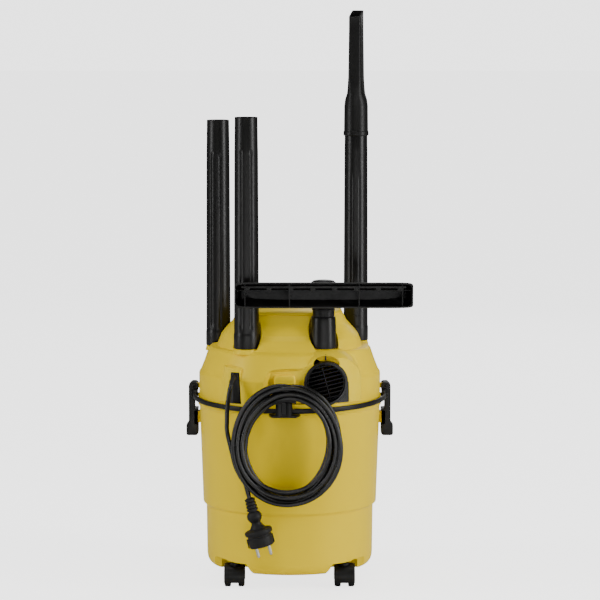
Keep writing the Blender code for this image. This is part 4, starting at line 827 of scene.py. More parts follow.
def recess_boss(floor):
    """The small raised panel inside the recess, with rounded top corners and sloping sides."""
    sections = []
    for out, grow in ((-0.004, 0.002), (0.0, 0.0014), (0.0044, 0.0002), (0.005, -0.0004)):
        left, right, top = -0.0225 - grow, 0.0075 + grow, 0.331 + grow
        outline = rounded([(right, FOOT_Z), (right, top), (left, top), (left, FOOT_Z)],
                          [0.0001, 0.005, 0.005, 0.0001], closed=True)
        sections.append((outline, -(floor + out)))
    return flat_prism("boss", sections)


def head_pads():
    """What stands on the head's wall: the switch's pad, and each latch's knuckle."""
    pads = [rod("switch_pad", 0.023, HEAD_R - 0.012, HEAD_R + 0.001, (0, 0, SWITCH_Z), FRONT,
                0.0006)]
    for sign in (-1, 1):
        near, far = span(sign, HEAD_R - 0.005, HINGE_X)
        pads.append(block("knuckle", (near, LATCH_MIDDLE - 0.004, HINGE_Z - 0.0038),
                          (far, LATCH_MIDDLE + 0.004, HINGE_Z + 0.0038)))
        pads.append(rod("knuckle_end", 0.0042, -0.0039, 0.0039,
                        (sign * HINGE_X, LATCH_MIDDLE, HINGE_Z), BACK, steps=24))
    return pads


def head_holes():
    """The holes for the port, the switch, the bail's pivots, the latches' pins, the gland and the
    port's skirt."""
    holes = [rod("port_hole", PORT_R + GAP, HEAD_R - 0.06, HEAD_R + 0.02, (PORT_X, 0, PORT_Z),
                 BACK, steps=96),
             rod("switch_hole", 0.0049, HEAD_R - 0.04, HEAD_R + 0.06, (0, 0, SWITCH_Z), FRONT,
                 steps=24)]
    for sign, turn in ((-1, LEFT), (1, RIGHT)):
        holes.append(rod("pivot_hole", 0.0033, HEAD_R - 0.02, HEAD_R + 0.02, (0, 0, PIVOT_Z), turn,
                         steps=24))
        holes.append(rod("pin_hole", 0.0024, 0.0, 0.06, (sign * HINGE_X, 0, HINGE_Z), FRONT,
                         steps=24))
    holes.append(slab("gland_hole", gland_outline(GAP), 0.04, (GLAND_X, -gland_wall(), GLAND_Z),
                      BACK, 0.0001, 0.0))
    holes.append(slab("skirt_hole", skirt_outline(GAP), 0.044, SKIRT_AT, BACK, 0.0012, 0.0))
    return holes


def build_head():
    """The head cover: its skin less the hollow and the niches, with the recess, the collar and
    the facets at the back, pegs for the tools, and the latches' knuckles."""
    floor = sizes().recess_floor
    cover = head_skin("head_shell", head_levels(), 0.0022, 200)
    inner = head_skin("hollow", head_levels(WALL), 0.0015, 120)
    niches = [((x, y, 0), z - GAP) for x, y, z in [*TUBES.values(), NOZZLE_AT]]
    keeps = [rod("niche_wall", NICHE_R + WALL, foot - NICHE_DROP - WALL, TOP_Z + 0.02, at)
             for at, foot in niches]
    cut(inner, *keeps, flat_prism("recess_wall", [(recess_outline(0.004), -(floor - WALL)),
                                                  (recess_outline(0.026), -0.16)]))
    join(cover, port_collar(floor), gland_mount())
    cut(cover, recess_cutter(floor), bail_way())
    join(cover, recess_boss(floor))
    oval = superellipse(0.0193, 0.012, 2.0, count=48)[:, :2] + (0.056, 0.3485)
    cut(cover, flat_prism("cavity", [(oval, -(floor - 0.013)),
                                     (outward(oval, 0.0008), -(floor + 0.004))]))
    cut(cover, inner)
    cut(cover, *[rod("niche", NICHE_R, foot - NICHE_DROP, TOP_Z + 0.02, at, edge=0.001, steps=96)
                 for at, foot in niches])
    join(cover, *[lathe("peg", [(0.0, foot + 0.026), (0.0105, foot + 0.026),
                                (0.0135, foot + 0.02), (0.0135, foot), (TUBE_FOOT_R - 0.001, foot),
                                (TUBE_FOOT_R + 0.001, foot - 0.008), (0.0, foot - 0.008)],
                        0.0008, at, steps=48) for at, foot in niches])
    join(cover, *head_pads())
    cut(cover, *head_holes())
    bevelled(cover, degrees=34)
    done(cover, "yellow", nodes=["head_cover"])


# Fittings on the head ---------------------------------------------------------------------------
def gland_wall():
    """Distance of the round wall from the middle plane where the cord comes out."""
    return math.sqrt(HEAD_R ** 2 - GLAND_X ** 2)


def gland_outline(extra=0.0):
    """The gland's wedge, narrow at the top."""
    return [(-0.007 - extra, -0.0255 - extra), (0.0115 + extra, -0.0255 - extra),
            (0.0085 + extra, 0.0215 + extra), (-0.0035 - extra, 0.0215 + extra)]


def build_gland():
    """The wedge that the cord comes out of, and the tongue below its hole."""
    y = -gland_wall()
    wedge = slab("cord_gland_wedge", gland_outline(), 0.018, (GLAND_X, y + 0.0075, GLAND_Z), BACK,
                 0.0012, 0.0008)
    cut(wedge, bail_way(),
        rod("exit", 0.0037, -0.04, 0.04, (GLAND_X + 0.001, y, CORD_EXIT_Z), BACK, steps=24))
    done(wedge, "black", nodes=["cord_gland"])
    outline = rounded([(-0.0022, -0.024), (0.0098, -0.024), (0.0062, -0.002), (0.0035, 0.0035),
                       (0.0012, -0.002)], 0.002, closed=True)
    tongue = slab("cord_gland_tongue", outline, 0.002, (GLAND_X + 0.0008, -0.1118, GLAND_Z), BACK,
                  0.0005, 0.0005)
    cut(tongue, bail_way())
    done(tongue, "rubber")


def skirt_outline(extra=0.0):
    """The black corner below the blower port's right side, as (across, up)."""
    foot, top = FOOT_Z + 0.0003, 0.32 + extra
    return [(PORT_X + 0.01 - extra, foot), (PORT_X + 0.0345 + extra, foot),
            (PORT_X + 0.034 + extra, top), (PORT_X + 0.024 - extra, top)]


def build_port():
    """The blower port's ring, cut back where the bail swings, the louvred grille in it, the black
    skirt beside it and the small pin above."""
    ring = lathe("blower_port_ring", [
        (PORT_BORE_R + 0.0008, 0.0), (PORT_R - 0.0014, 0.0), (PORT_R, -0.0014),
        (PORT_R, -PORT_LENGTH), (PORT_BORE_R, -PORT_LENGTH), (PORT_BORE_R, -0.0022)],
        0.0008, (PORT_X, PORT_FACE_Y, PORT_Z), BACK, 128, ring=True)
    cut(ring, bail_way())
    bevelled(ring, 0.0005)
    done(ring, "black", nodes=["blower_port"])
    turn = BACK @ turn_about(2, sizes().louvre_turn)
    at = (PORT_X, PORT_FACE_Y + 0.024, PORT_Z)
    radius = PORT_BORE_R - 2 * GAP
    rim = radius - 0.0022
    grille = lathe("blower_louvres", [(radius, 0.002), (radius, -0.002), (rim, -0.002),
                                      (rim, 0.002)], 0.0004, at, turn, 96, ring=True)
    bars = []
    for i in range(-4, 5):
        height = i * 0.006
        half = math.sqrt((radius - 0.0012) ** 2 - height ** 2)
        bars.append(block("bar", (-half, height - 0.0011, -0.0018), (half, height + 0.0011, 0.0018),
                          at, turn))
    bars.append(block("spine", (-0.001, 0.001 - radius, -0.0019), (0.001, radius - 0.001, 0.0008),
                      at, turn, 0.0004))
    join(grille, *bars)
    done(grille, "black", nodes=["blower_grille"])
    skirt = slab("blower_port_skirt", skirt_outline(), 0.04, SKIRT_AT, BACK, 0.0012, 0.0003)
    cut(skirt, bail_way(),
        rod("round", PORT_R + GAP, 0.0, 0.2, (PORT_X, 0, PORT_Z), BACK, steps=96))
    done(skirt, "black")
    at = (PORT_X - 0.0008, SKIRT_AT[1], 0.3535)
    pin = rod("cavity_pin", 0.0012, 0.0, 0.009, at, edge=0.0004, steps=20)
    done(pin, "black")


def build_hook():
    """The cord hook under the bail: a flaring foot, two prongs and the saddle the coil hangs on."""
    base = PIVOT_Z - BAIL_R * math.sin(BAIL_REST) - BAIL_H / 2 - 0.0008
    low = base - 0.0035
    reach = PRONG_Y - 0.0048 + 0.0006
    root = -(HEAD_R + 0.0015) - 3 * GAP
    hook = slab("cord_hook_saddle", [(HOOK_X - 0.023, root), (HOOK_X + 0.025, root),
                                     (HOOK_X + 0.019, reach), (HOOK_X - 0.019, reach)],
                base - low, (0, 0, (base + low) / 2), UP, 0.002, 0.0008)
    saddle_z = COIL_CENTRE[2] + 0.0935 - 0.0235 - 0.0022
    web = block("web", (HOOK_X - 0.008, PRONG_Y - 0.0015, low + 0.0005),
                (HOOK_X + 0.008, PRONG_Y + 0.0015, saddle_z - 0.0018))
    x = HOOK_X - 0.0185 + 0.037 * np.linspace(0, 1, 17)
    z = COIL_CENTRE[2] + 0.07 * np.sqrt(1 - ((x - COIL_CENTRE[0]) / 0.061) ** 2)
    outline = np.vstack([np.column_stack([x, z - 0.0052]), np.column_stack([x, z - 0.0008])[::-1]])
    saddle = slab("saddle", outline, 0.018, (0, PRONG_Y - 0.0055, 0), BACK, 0.0006, 0.001)
    prongs = [rod("prong", 0.0048, low + 0.001, saddle_z - 0.001,
                  (HOOK_X + sign * 0.0078, PRONG_Y, 0), steps=32) for sign in (-1, 1)]
    join(hook, web, saddle, *prongs)
    bevelled(hook)
    done(hook, "black", nodes=["cord_hook"])


def build_bail():
    """The strap: a rounded section carried round a half circle behind the head, an eye at each
    end, and the pins it turns on."""
    angle = np.radians(np.linspace(180, 360, 121))
    normals = np.column_stack([np.cos(angle), np.sin(angle), np.zeros(len(angle))])
    half_t, half_h = BAIL_T / 2, BAIL_H / 2
    section = rounded([(-half_t, -half_h), (half_t, -half_h), (half_t, half_h), (-half_t, half_h)],
                      0.0014, closed=True)
    tilt = turn_about(0, BAIL_REST)
    strap = swept("bail_strap", placed(BAIL_R * normals, (0, 0, PIVOT_Z), tilt), section,
                  placed(normals, turn=tilt))
    at, turns = (0, 0, PIVOT_Z), (("left", LEFT), ("right", RIGHT))
    join(strap, *[rod("eye", 0.007, HEAD_R + 0.0021, BAIL_R + half_t, at, turn, 0.001, 64)
                  for _, turn in turns])
    cut(strap, *[rod("eye_hole", 0.0034, HEAD_R - 0.003, 0.16, at, turn, steps=32)
                 for _, turn in turns])
    done(strap, "black", "bail", ["bail_handle"])
    face, root = BAIL_R + half_t + 0.0004, HEAD_R - 0.0025
    for side, turn in turns:
        pin = lathe(f"bail_pivot_{side}", [
            (0.0, face + 0.0022), (0.004, face + 0.0022), (0.0052, face + 0.001), (0.0052, face),
            (0.003, face), (0.003, root), (0.0, root)], 0.0005, at, turn, 40)
        done(pin, "black", nodes=[f"bail_pin_{side}"])


def latch_outline():
    """The latch seen along its hinge, as (outward, up) from the hinge."""
    inner, out, step = (HEAD_R + away - HINGE_X for away in (0.002, 0.0169, 0.0208))
    bar = out - 0.0095
    top, foot = 0.303 - HINGE_Z, 0.22 - HINGE_Z
    lug_low, lug_high = CATCH_LOW - 0.0012 - HINGE_Z, CATCH_HIGH + 0.0012 - HINGE_Z
    arm = lug_high + 0.0038
    return [(inner, top - 0.003), (inner + 0.003, top), (out - 0.005, top), (out, top - 0.005),
            (out, lug_low + 0.002), (step, lug_low - 0.003), (step, foot + 0.002),
            (step - 0.002, foot), (inner + 0.003, foot), (inner, foot + 0.003), (inner, lug_low),
            (bar, lug_low), (bar, lug_high), (inner, lug_high), (inner, arm), (bar, arm),
            (bar, -0.008), (inner, -0.006)]


def build_latches():
    """Each latch: its side view carried along the hinge, notched for the knuckle, with grip ribs
    on the finger step; and its pin."""
    half = LATCH_WIDTH / 2 - 0.001
    for side, sign in (("left", -1), ("right", 1)):
        at = (sign * HINGE_X, LATCH_MIDDLE, HINGE_Z)
        latch = slab(f"drum_latch_{side}", [(sign * out, up) for out, up in latch_outline()],
                     LATCH_WIDTH, at, BACK, 0.001, 0.0009)
        near, far = span(sign, -0.012, 0.005)
        cut(latch, block("notch", (near, -0.0043, -0.0105), (far, 0.0043, 0.02), at, edge=0.0),
            rod("pin_hole", 0.0024, -0.03, 0.03, at, BACK, steps=24))
        near, far = span(sign, HEAD_R + 0.02 - HINGE_X, HEAD_R + 0.02095 - HINGE_X)
        heights = [0.2245 + 0.0034 * i - HINGE_Z for i in range(4)]
        join(latch, *[block("rib", (near, -0.0115, z - 0.0005), (far, 0.0115, z + 0.0005), at,
                            edge=0.0003) for z in heights])
        bevelled(latch, 0.0005)
        body = f"{side}_latch"
        done(latch, "black", body, [f"latch_{side}"])
        pin = rod(f"latch_hinge_pin_{side}", 0.002, -half, half, at, BACK, 0.0003, 24)
        done(pin, "rubber", body if pin_rides(side) else "cleaner", [f"latch_pin_{side}"])


def pin_rides(side):
    """Whether the packed model moves this latch's pin with the latch."""
    return f"latch_pin_{side}" in frame["record"]["behaviour"]["bodies"].get(f"{side}_latch", [])


def build_switch():
    """The turning switch on the front: a round base with a grip bar across it, and a pointer."""
    front, root, at = HEAD_R + 0.0016, HEAD_R - 0.014, (0, 0, SWITCH_Z)
    knob = lathe("switch_grip", [
        (0.0, front + 0.014), (0.016, front + 0.014), (0.0175, front + 0.012),
        (0.019, front + 0.001), (0.019, front), (0.0045, front), (0.0045, root), (0.0, root)],
        0.001, at, FRONT, 96)
    flats = []
    for sign in (-1, 1):
        near, far = span(sign, 0.0055, 0.03)
        flats.append(block("flat", (near, front + 0.005, -0.03), (far, front + 0.03, 0.03), at,
                           edge=0.0008))
    cut(knob, *flats)
    join(knob, block("pointer", (-0.0008, front + 0.0136, 0.006), (0.0008, front + 0.0146, 0.015),
                     at, edge=0.0003))
    bevelled(knob)
    done(knob, "black", "knob", ["switch_knob"])


# Tools ------------------------------------------------------------------------------------------
def fluted(name, profile, at, flutes, steps=120, run=0.004):
    """A tube: its profile turned about Z, with shallow flutes.  The radius at (angle, z) is
    r(z) less a flute's depth times a bell of the angle from the flute's middle, between the
    flute's ends, where it fades over the run.  The profile's third column is 1 where it has
    flutes."""
    angle = np.linspace(0, 2 * math.pi, steps, endpoint=False)
    radius = np.repeat(profile[:, :1], steps, axis=1)
    height = np.repeat(profile[:, 1:2], steps, axis=1)
    body = profile[:, 2:3]
    for middle, half, depth, low, high in flutes:
        away = (angle - math.radians(middle) + math.pi) % (2 * math.pi) - math.pi
        bell = np.clip(1.35 * (1 - (away / math.radians(half)) ** 2), 0, 1)[None, :]
        ends = np.clip((height - low) / run, 0, 1) * np.clip((high - height) / run, 0, 1)
        radius = radius - depth * bell * ends * body
    points = np.stack([radius * np.cos(angle), radius * np.sin(angle), height], axis=-1)
    return mesh_object(name, placed(points.reshape(-1, 3), at),
                       grid_faces(len(profile), steps, wrap_rows=True), 40)


def build_tubes():
    """The three suction tubes: a foot ring, a tapering body with flutes, and a plain end that the
    next tube is pushed on."""
    # Each flute: (middle and half width in degrees, depth, low end, high end).
    flutes = {
        "first_tube": [(-119, 8, 0.0011, 0.03, 0.3), (-80, 6, 0.0011, 0.03, 0.3),
                       (90, 9, 0.0009, 0.03, 0.3)],
        "second_tube": [(-115, 8, 0.0011, 0.03, 0.3), (-66, 9, 0.0011, 0.03, 0.3),
                        (68, 7, 0.0009, 0.03, 0.3), (106, 7, 0.0009, 0.03, 0.3)],
        "third_tube": [(-112, 6, 0.0006, 0.06, 0.262), (-74, 6, 0.0006, 0.06, 0.262),
                       (90, 8, 0.0006, 0.06, 0.262)]}
    top, foot, wall, length = TUBE_TOP_R, TUBE_FOOT_R, 0.0018, TUBE_LENGTH
    outer = rounded([(top - wall, length), (top, length), (top + 0.0006, length - 0.048)], 0.0006)
    taper = np.column_stack([np.linspace(top + 0.0007, foot - 0.0006, 60),
                             np.linspace(length - 0.049, 0.0245, 60)])
    lower = rounded([(foot - 0.0006, 0.024), (foot, 0.0205), (foot, 0.0), (foot - wall, 0.0)],
                    0.0009)
    inside = [(foot - wall - 0.0004, 0.024), (top - wall, length - 0.001)]
    flag = np.concatenate([np.zeros(len(outer)), np.ones(len(taper)), np.zeros(len(lower) + 2)])
    profile = np.column_stack([np.vstack([outer, taper, lower, inside]), flag])
    for (name, at), body in zip(TUBES.items(), flutes):
        done(fluted(f"{name}_fluted", profile, at, flutes[body]), "tube", body, [name])
    mark = block("tube_latch_mark", (-0.0035, -0.0202, 0.0385), (0.0035, -0.018, 0.04),
                 TUBES["suction_tube_3"], edge=0.0003)
    done(mark, "black", "third_tube")


def blade(name, sections, foot):
    """A loft of superellipses across the crevice tool, each (height, half width, half depth,
    squareness, slope down towards -Y)."""
    rings = []
    for z, half_w, half_d, power, slant in sections:
        ring = superellipse(half_w, half_d, power, z, 72)
        ring[:, 2] += slant * ring[:, 1]
        rings.append(ring)
    return lofted(name, rings, foot, turn_about(2, CREVICE_TURN))


def build_crevice_tool():
    """The crevice tool: a round socket with a ring at its foot that turns into a flat blade, open
    at its slanted mouth."""
    foot = (*TUBES["suction_tube_3"][:2], CREVICE_FOOT_Z)
    r, wall, socket, length = 0.0196, 0.0019, 0.052, CREVICE_LENGTH
    w, d = BLADE_W / 2, BLADE_D / 2
    sections = [
        (0.0, r - 0.0008, r - 0.0008, 2.0, 0), (0.0012, r, r, 2.0, 0), (0.006, r, r, 2.0, 0),
        (0.0072, r - 0.0008, r - 0.0008, 2.0, 0), (socket - 0.006, r - 0.0012, r - 0.0012, 2.0, 0),
        (socket + 0.004, r - 0.0026, r - 0.0006, 2.1, 0),
        (socket + 0.013, r - 0.0058, r - 0.0002, 2.5, 0),
        (socket + 0.022, w + 0.003, d + 0.0016, 3.4, 0),
        (socket + 0.038, w + 0.0014, d + 0.0008, 6.0, 0),
        (length - 0.03, w + 0.0002, d, 8.0, 0.16), (length - 0.0045, w, d, 9.0, 0.28),
        (length - 0.004, w - 0.0003, d - 0.0003, 9.0, 0.28)]
    corners = [0, 0.0004, 0.0004, 0.0006, 0.003, 0.004, 0.006, 0.006, 0.01, 0.01, 0.0002, 0]
    tool = blade("crevice_tool_blade", rounded(sections, corners, steps=5), foot)
    bore, stop = TUBE_TOP_R + 0.0007, 0.0313
    cut(tool, blade("hollow", [
        (-0.01, bore, bore, 2.0, 0), (stop, bore, bore, 2.0, 0),
        (stop + 0.0005, bore - 0.0018, bore - 0.0018, 2.0, 0),
        *[(z, a - wall, b - wall, p, slant) for z, a, b, p, slant in sections[5:-2]],
        (length + 0.008, w - wall, d - wall, 9.0, 0.28)], foot))
    done(tool, "black", "crevice", ["crevice_tool"])


def bar(name, sections, at):
    """A loft of superellipses across the nozzle's wide head, each (taken off the half width, off
    the half height, distance behind the mouth, squareness)."""
    rings = []
    for narrower, lower, back, power in sections:
        ring = superellipse(NOZZLE_W / 2 - narrower, NOZZLE_H / 2 - lower, power, 0.0, 160)
        rings.append(np.column_stack([ring[:, 0], np.full(len(ring), NOZZLE_FACE_Y + back),
                                      ring[:, 1]]))
    return lofted(name, rings, at)


def build_nozzle():
    """The floor nozzle: a wide hollow head whose mouth faces back, with partitions and a ledge
    inside, a neck, and the ringed cuff it stands on."""
    x, y, z = NOZZLE_AT
    mouth, wide, high, wall = NOZZLE_FACE_Y, NOZZLE_W / 2, NOZZLE_H / 2, 0.0022
    at, post = (x, 0, NOZZLE_Z), (x, y, 0)
    shell = bar("nozzle_head", [
        (0.0004, 0.0004, 0.0, 16.0), (0.0, 0.0, 0.0005, 16.0), (0.0, 0.0, 0.0045, 16.0),
        (0.0018, 0.0014, 0.006, 12.0), (0.004, 0.0026, 0.017, 7.0), (0.006, 0.0036, 0.0225, 6.0),
        (0.012, 0.007, 0.029, 4.0)], at)
    hollow = bar("hollow", [
        (wall, wall, -0.01, 16.0), (wall, wall, 0.006, 12.0), (0.008, 0.006, 0.0209, 6.0),
        (0.018, 0.01, 0.0268, 4.0)], at)
    neck_r, neck_foot = CUFF_R - 0.001, z + CUFF_LENGTH
    top, waist = NOZZLE_Z + 0.0178, neck_r - 0.0022
    side = [(0.0, top), (neck_r, top), (neck_r, NOZZLE_Z - 0.0196), (waist, NOZZLE_Z - 0.02)]
    for ring in (NOZZLE_Z - 0.0225, NOZZLE_Z - 0.0262):
        side += [(waist, ring + 0.001), (waist + 0.001, ring + 0.0005),
                 (waist + 0.001, ring - 0.001), (waist, ring - 0.0015)]
    side += [(waist, NOZZLE_Z - 0.031), (waist, neck_foot), (0.0, neck_foot)]
    neck = lathe("neck", side, [0, 0.007, 0.001] + [0.0003] * (len(side) - 3), post, steps=96)
    throat = block("throat", (-neck_r, mouth + 0.016, -0.01), (neck_r, y, 0.016), at, edge=0.002)
    join(shell, throat, neck)
    cut(shell, hollow,
        rod("bore", waist - wall, neck_foot - 0.01, NOZZLE_Z + 0.01, post, steps=96))
    extras = [block("partition", (px - 0.0007, mouth + 0.0012, 0.0015 - high),
                    (px + 0.0007, mouth + 0.02, high - wall + 0.0008), at, edge=0.0003)
              for px in (-0.0515, 0.053, -0.118, 0.118)]
    join(shell, *extras, block("ledge", (-0.131, mouth + 0.006, 0.0066),
                               (0.131, mouth + 0.022, 0.008), at, edge=0.0004))
    bevelled(shell, 0.0004, degrees=45)
    done(shell, "black", "nozzle", ["nozzle_body"])
    bore, end, inside = waist - 0.0012, CUFF_LENGTH - GAP, CUFF_R - 0.0018
    cuff = lathe("nozzle_cuff_ringed", [
        (bore, end), (CUFF_R - 0.0016, end), (CUFF_R - 0.0012, CUFF_LENGTH - 0.006),
        (CUFF_R - 0.0003, 0.012), (CUFF_R, 0.0), (inside, 0.0), (inside - 0.0004, 0.03),
        (bore, 0.034)], 0.0008, NOZZLE_AT, steps=120, ring=True)
    done(cuff, "tube", "nozzle", ["nozzle_cuff"])
    reach, top = wide - wall - 0.0085, high - wall - 0.003
    back, tip = top - 0.0035, top - 0.008
    points = [(-reach, top), (-reach, back)]
    for i in range(8):
        middle = (i - 3.5) * NOZZLE_W * 0.122
        points += [(middle - 0.004, back), (middle - 0.003, tip), (middle + 0.003, tip),
                   (middle + 0.004, back)]
    comb = slab("nozzle_lint_comb", points + [(reach, back), (reach, top)], 0.003,
                (x, mouth + 0.003, NOZZLE_Z), BACK, 0.0006, 0.0004)
    done(comb, "black", "nozzle", ["nozzle_comb"])


# Cord -------------------------------------------------------------------------------------------
def smooth_through(points, spacing):
    """Points evenly spaced on a smooth (Catmull-Rom) line through the given ones."""
    knots = np.asarray(points, dtype=float)
    ends = np.vstack([2 * knots[0] - knots[1], knots, 2 * knots[-1] - knots[-2]])
    a, b, c, d = ends[:-3, None], ends[1:-2, None], ends[2:-1, None], ends[3:, None]
    t = np.linspace(0, 1, 40, endpoint=False)[None, :, None]
    fine = 0.5 * (2 * b + (c - a) * t + (2 * a - 5 * b + 4 * c - d) * t ** 2
                  + (3 * b - a - 3 * c + d) * t ** 3)
    fine = np.vstack([fine.reshape(-1, 3), knots[-1:]])
    along = np.concatenate([[0], np.cumsum(np.linalg.norm(np.diff(fine, axis=0), axis=1))])
    wanted = np.linspace(0, along[-1], int(round(along[-1] / spacing)) + 1)
    return np.column_stack([np.interp(wanted, along, fine[:, k]) for k in range(3)])


def lead_route():
    """From the gland out and down to the left side of the coil."""
    steps = [(0.0, 0.003, 0.0), (0.0, 0.006, 0.0), (0.001, 0.0125, 0.0005),
             (0.0035, 0.0195, 0.007), (0.0068, 0.024, 0.021), (0.0096, 0.029, 0.042),
             (0.01, 0.036, 0.0615)]
    start = np.array((GLAND_X + 0.001, -gland_wall(), CORD_EXIT_Z))
    return [*(start - steps),
            (start[0] - 0.0094, COIL_CENTRE[1] + 0.008, COIL_CENTRE[2] + 0.0185)]


def coil_route(turns, diameter):
    """The turns: an ellipse round the coil's middle whose radius and depth step from place to
    place in a stack of round cords, with a slow wander of each turn."""
    places = np.array([(0.0075, 0.0062), (0.0002, 0.0064), (-0.0076, 0.006), (-0.0042, -0.0002),
                       (0.0034, 0.0), (0.0078, -0.006), (0.0, -0.0063), (-0.0078, -0.006),
                       (-0.0112, 0.0002)])[:turns + 1]
    start, leave, per_turn = math.radians(176), math.radians(196), 96
    total = 2 * math.pi * turns + leave - start
    angle = np.linspace(0, total, int(total / (2 * math.pi) * per_turn))
    turn = angle / (2 * math.pi)
    step = np.clip((turn % 1.0 - 0.6) / 0.4, 0, 1)
    step = (step ** 2 * (3 - 2 * step))[:, None]
    here = np.minimum(np.floor(turn).astype(int), len(places) - 1)
    there = np.minimum(here + 1, len(places) - 1)
    offset = places[here] * (1 - step) + places[there] * step
    theta = start + angle
    wander = 0.0024 * np.sin(1.87 * angle + 0.6) + 0.0015 * np.sin(3.13 * angle + 1.0)
    radial = offset[:, 0] * (1 + 0.22 * np.sin(theta) ** 2) + wander
    x = COIL_CENTRE[0] + (COIL_MIDDLE[0] + radial) * np.cos(theta)
    z = COIL_CENTRE[2] + (COIL_MIDDLE[1] + radial) * np.sin(theta)
    y = COIL_CENTRE[1] + offset[:, 1] + 0.0012 * np.sin(1.41 * angle)
    return settled(np.column_stack([x, y, z]), diameter)


def settled(points, diameter, rounds=60, share=0.3, neighbours=20):
    """The turns pushed apart until they lie a diameter from each other, and evened out along the
    cord.  Each round moves a share of the way, and a point's neighbours don't push it."""
    points = points.copy()
    index = np.arange(len(points))
    far = np.abs(index[:, None] - index[None, :]) > neighbours
    for _ in range(rounds):
        between = points[:, None] - points[None, :]
        distance = np.linalg.norm(between, axis=2) + 1e-9
        lack = np.where(far, np.clip(diameter * 1.01 - distance, 0, None), 0)
        push = (between / distance[..., None] * lack[..., None]).sum(axis=1) * share
        push[:2] = push[-2:] = 0
        points += push
        points[1:-1] = 0.7 * points[1:-1] + 0.15 * (points[:-2] + points[2:])
    return points


def cord_route():
    """The whole cord: out of the gland, down, round the hook, and straight to the plug."""
    coil = coil_route(sizes().turns, sizes().cord_diameter)
    lean = math.tan(-PLUG_TILT)
    x, y, z = PLUG_TOP
    tail = [(x - lean * up, y, z + up) for up in (0.03, 0.02, 0.01, 0.0, -0.004)]
    return smooth_through(np.vstack([lead_route(), coil[3:-3:4], tail]), 0.0042)


def build_cord():
    """The mains lead as one curve, from its gland to its plug."""
    points = cord_route()
    curve = bpy.data.curves.new("mains_lead", "CURVE")
    curve.dimensions = "3D"
    curve.bevel_depth = sizes().cord_diameter / 2
    curve.bevel_resolution = 5
    curve.use_fill_caps = True
    line = curve.splines.new("POLY")
    line.points.add(len(points) - 1)
    line.points.foreach_set("co", np.column_stack([points, np.ones(len(points))]).ravel())
    line.use_smooth = True
    lead = link(bpy.data.objects.new("mains_lead", curve))
    done(lead, "cord", nodes=["cord_lead", "cord_coil", "cord_tail"])
    plug = build_plug()
    relief = build_gland_relief()


def build_gland_relief():
    """The sleeve round the cord where it leaves the gland: three rings on a tapering tube that
    follows the cord's first bend."""
    path = smooth_through(lead_route()[:5], 0.0012)[:20]
    along = np.linspace(0, 1, len(path))
    radius = 0.0034 + 0.0011 * (1 - along) + 0.00035 * (np.sin(along * 6 * math.pi) > 0)
    angle = np.linspace(0, 2 * math.pi, 28, endpoint=False)
    section = np.stack([np.cos(angle), np.sin(angle)], axis=1)[None] * radius[:, None, None]
    relief = swept("cord_exit_sleeve", path, section, np.tile((1.0, 0.0, 0.0), (len(path), 1)))
    return done(relief, "rubber")


def build_plug():
    """The round two-pin plug: a tapering ribbed sleeve, a neck, a flange and a base, turned about
    the plug's axis, with two pins."""
    turn = turn_about(1, PLUG_TILT)
    side = [(0.0, 0.0), (0.005, 0.0), (0.0056, -0.0012)]
    for i in range(4):
        top, wide = -0.0018 - i * 0.005, 0.0076 + i * 0.0003
        side += [(wide, top), (wide, top - 0.0034), (wide - 0.002, top - 0.0037),
                 (wide - 0.002, top - 0.0048)]
    side += [
        (0.009, -0.0232), (0.011, -0.027), (0.0112, -0.031), (0.0096, -0.0345), (0.007, -0.0385),
        (0.008, -0.042), (0.012, -0.0475), (0.0202, -0.05), (0.0212, -0.052), (0.0206, -0.056),
        (0.018, -0.0575), (0.018, -0.06), (0.0192, -0.0608), (0.0188, -0.074), (0.0172, -0.0757),
        (0.0, -0.0757)]
    body = lathe("mains_plug", side, 0.0007, PLUG_TOP, turn)
    pin = [(0.0, -0.066), (0.0024, -0.066), (0.0023, -0.09), (0.001, -0.0922), (0.0, -0.0922)]
    pieces, holes = [], []
    for name, sign in (("left", -1), ("right", 1)):
        at = placed((sign * 0.0095, 0, 0), PLUG_TOP, turn)
        holes.append(rod("hole", 0.0027, -0.08, -0.0657, at, turn, steps=24))
        piece = lathe(f"mains_plug_pin_{name}", pin, 0.0008, at, turn, 32)
        pieces.append(done(piece, "steel", nodes=[f"plug_pin_{name}"]))
    cut(body, *holes)
    join(body, *[block("grip", (x - 0.0012, -0.004, -0.074), (x + 0.0002, 0.004, -0.061), PLUG_TOP,
                       turn, 0.0004) for x in (-0.0195, 0.0195)])
    pieces.append(done(body, "rubber", nodes=["plug_body"]))
    return pieces


# Inner pieces and the stage ---------------------------------------------------------------------
def finish_inside():
    """The carried-over CAD pieces take their own materials."""
    finishes = {
        "rubber": ["seal_ring", "filter_end_cap"],
        "black": ["motor_tray", "motor_housing", "filter_cage", "switch_body"],
        "copper": ["motor_stator"],
        "steel": ["motor_rotor", "motor_bearing", "tray_screw_1", "tray_screw_2", "tray_screw_3"],
        "inside": ["suction_fan", "exhaust_duct"],
        "paper": ["filter_cartridge"],
        "yellow": ["float_ball"]}
    for label, names in finishes.items():
        for name in names:
            mesh = frame["nodes"][name].data
            mesh.materials.clear()
            mesh.materials.append(finish(label))


def area_light(name, at, aim, size, power):
    """A rectangular light at a point, facing a height on the middle axis."""
    light = bpy.data.lights.new(name, "AREA")
    light.shape = "RECTANGLE"
    light.size, light.size_y = size
    light.energy = power
    lamp = link(bpy.data.objects.new(name, light))
    lamp.location = at
    x, y, z = at
    lamp.rotation_euler = (math.atan2(math.hypot(x, y), z - aim), 0.0, math.atan2(x, -y))


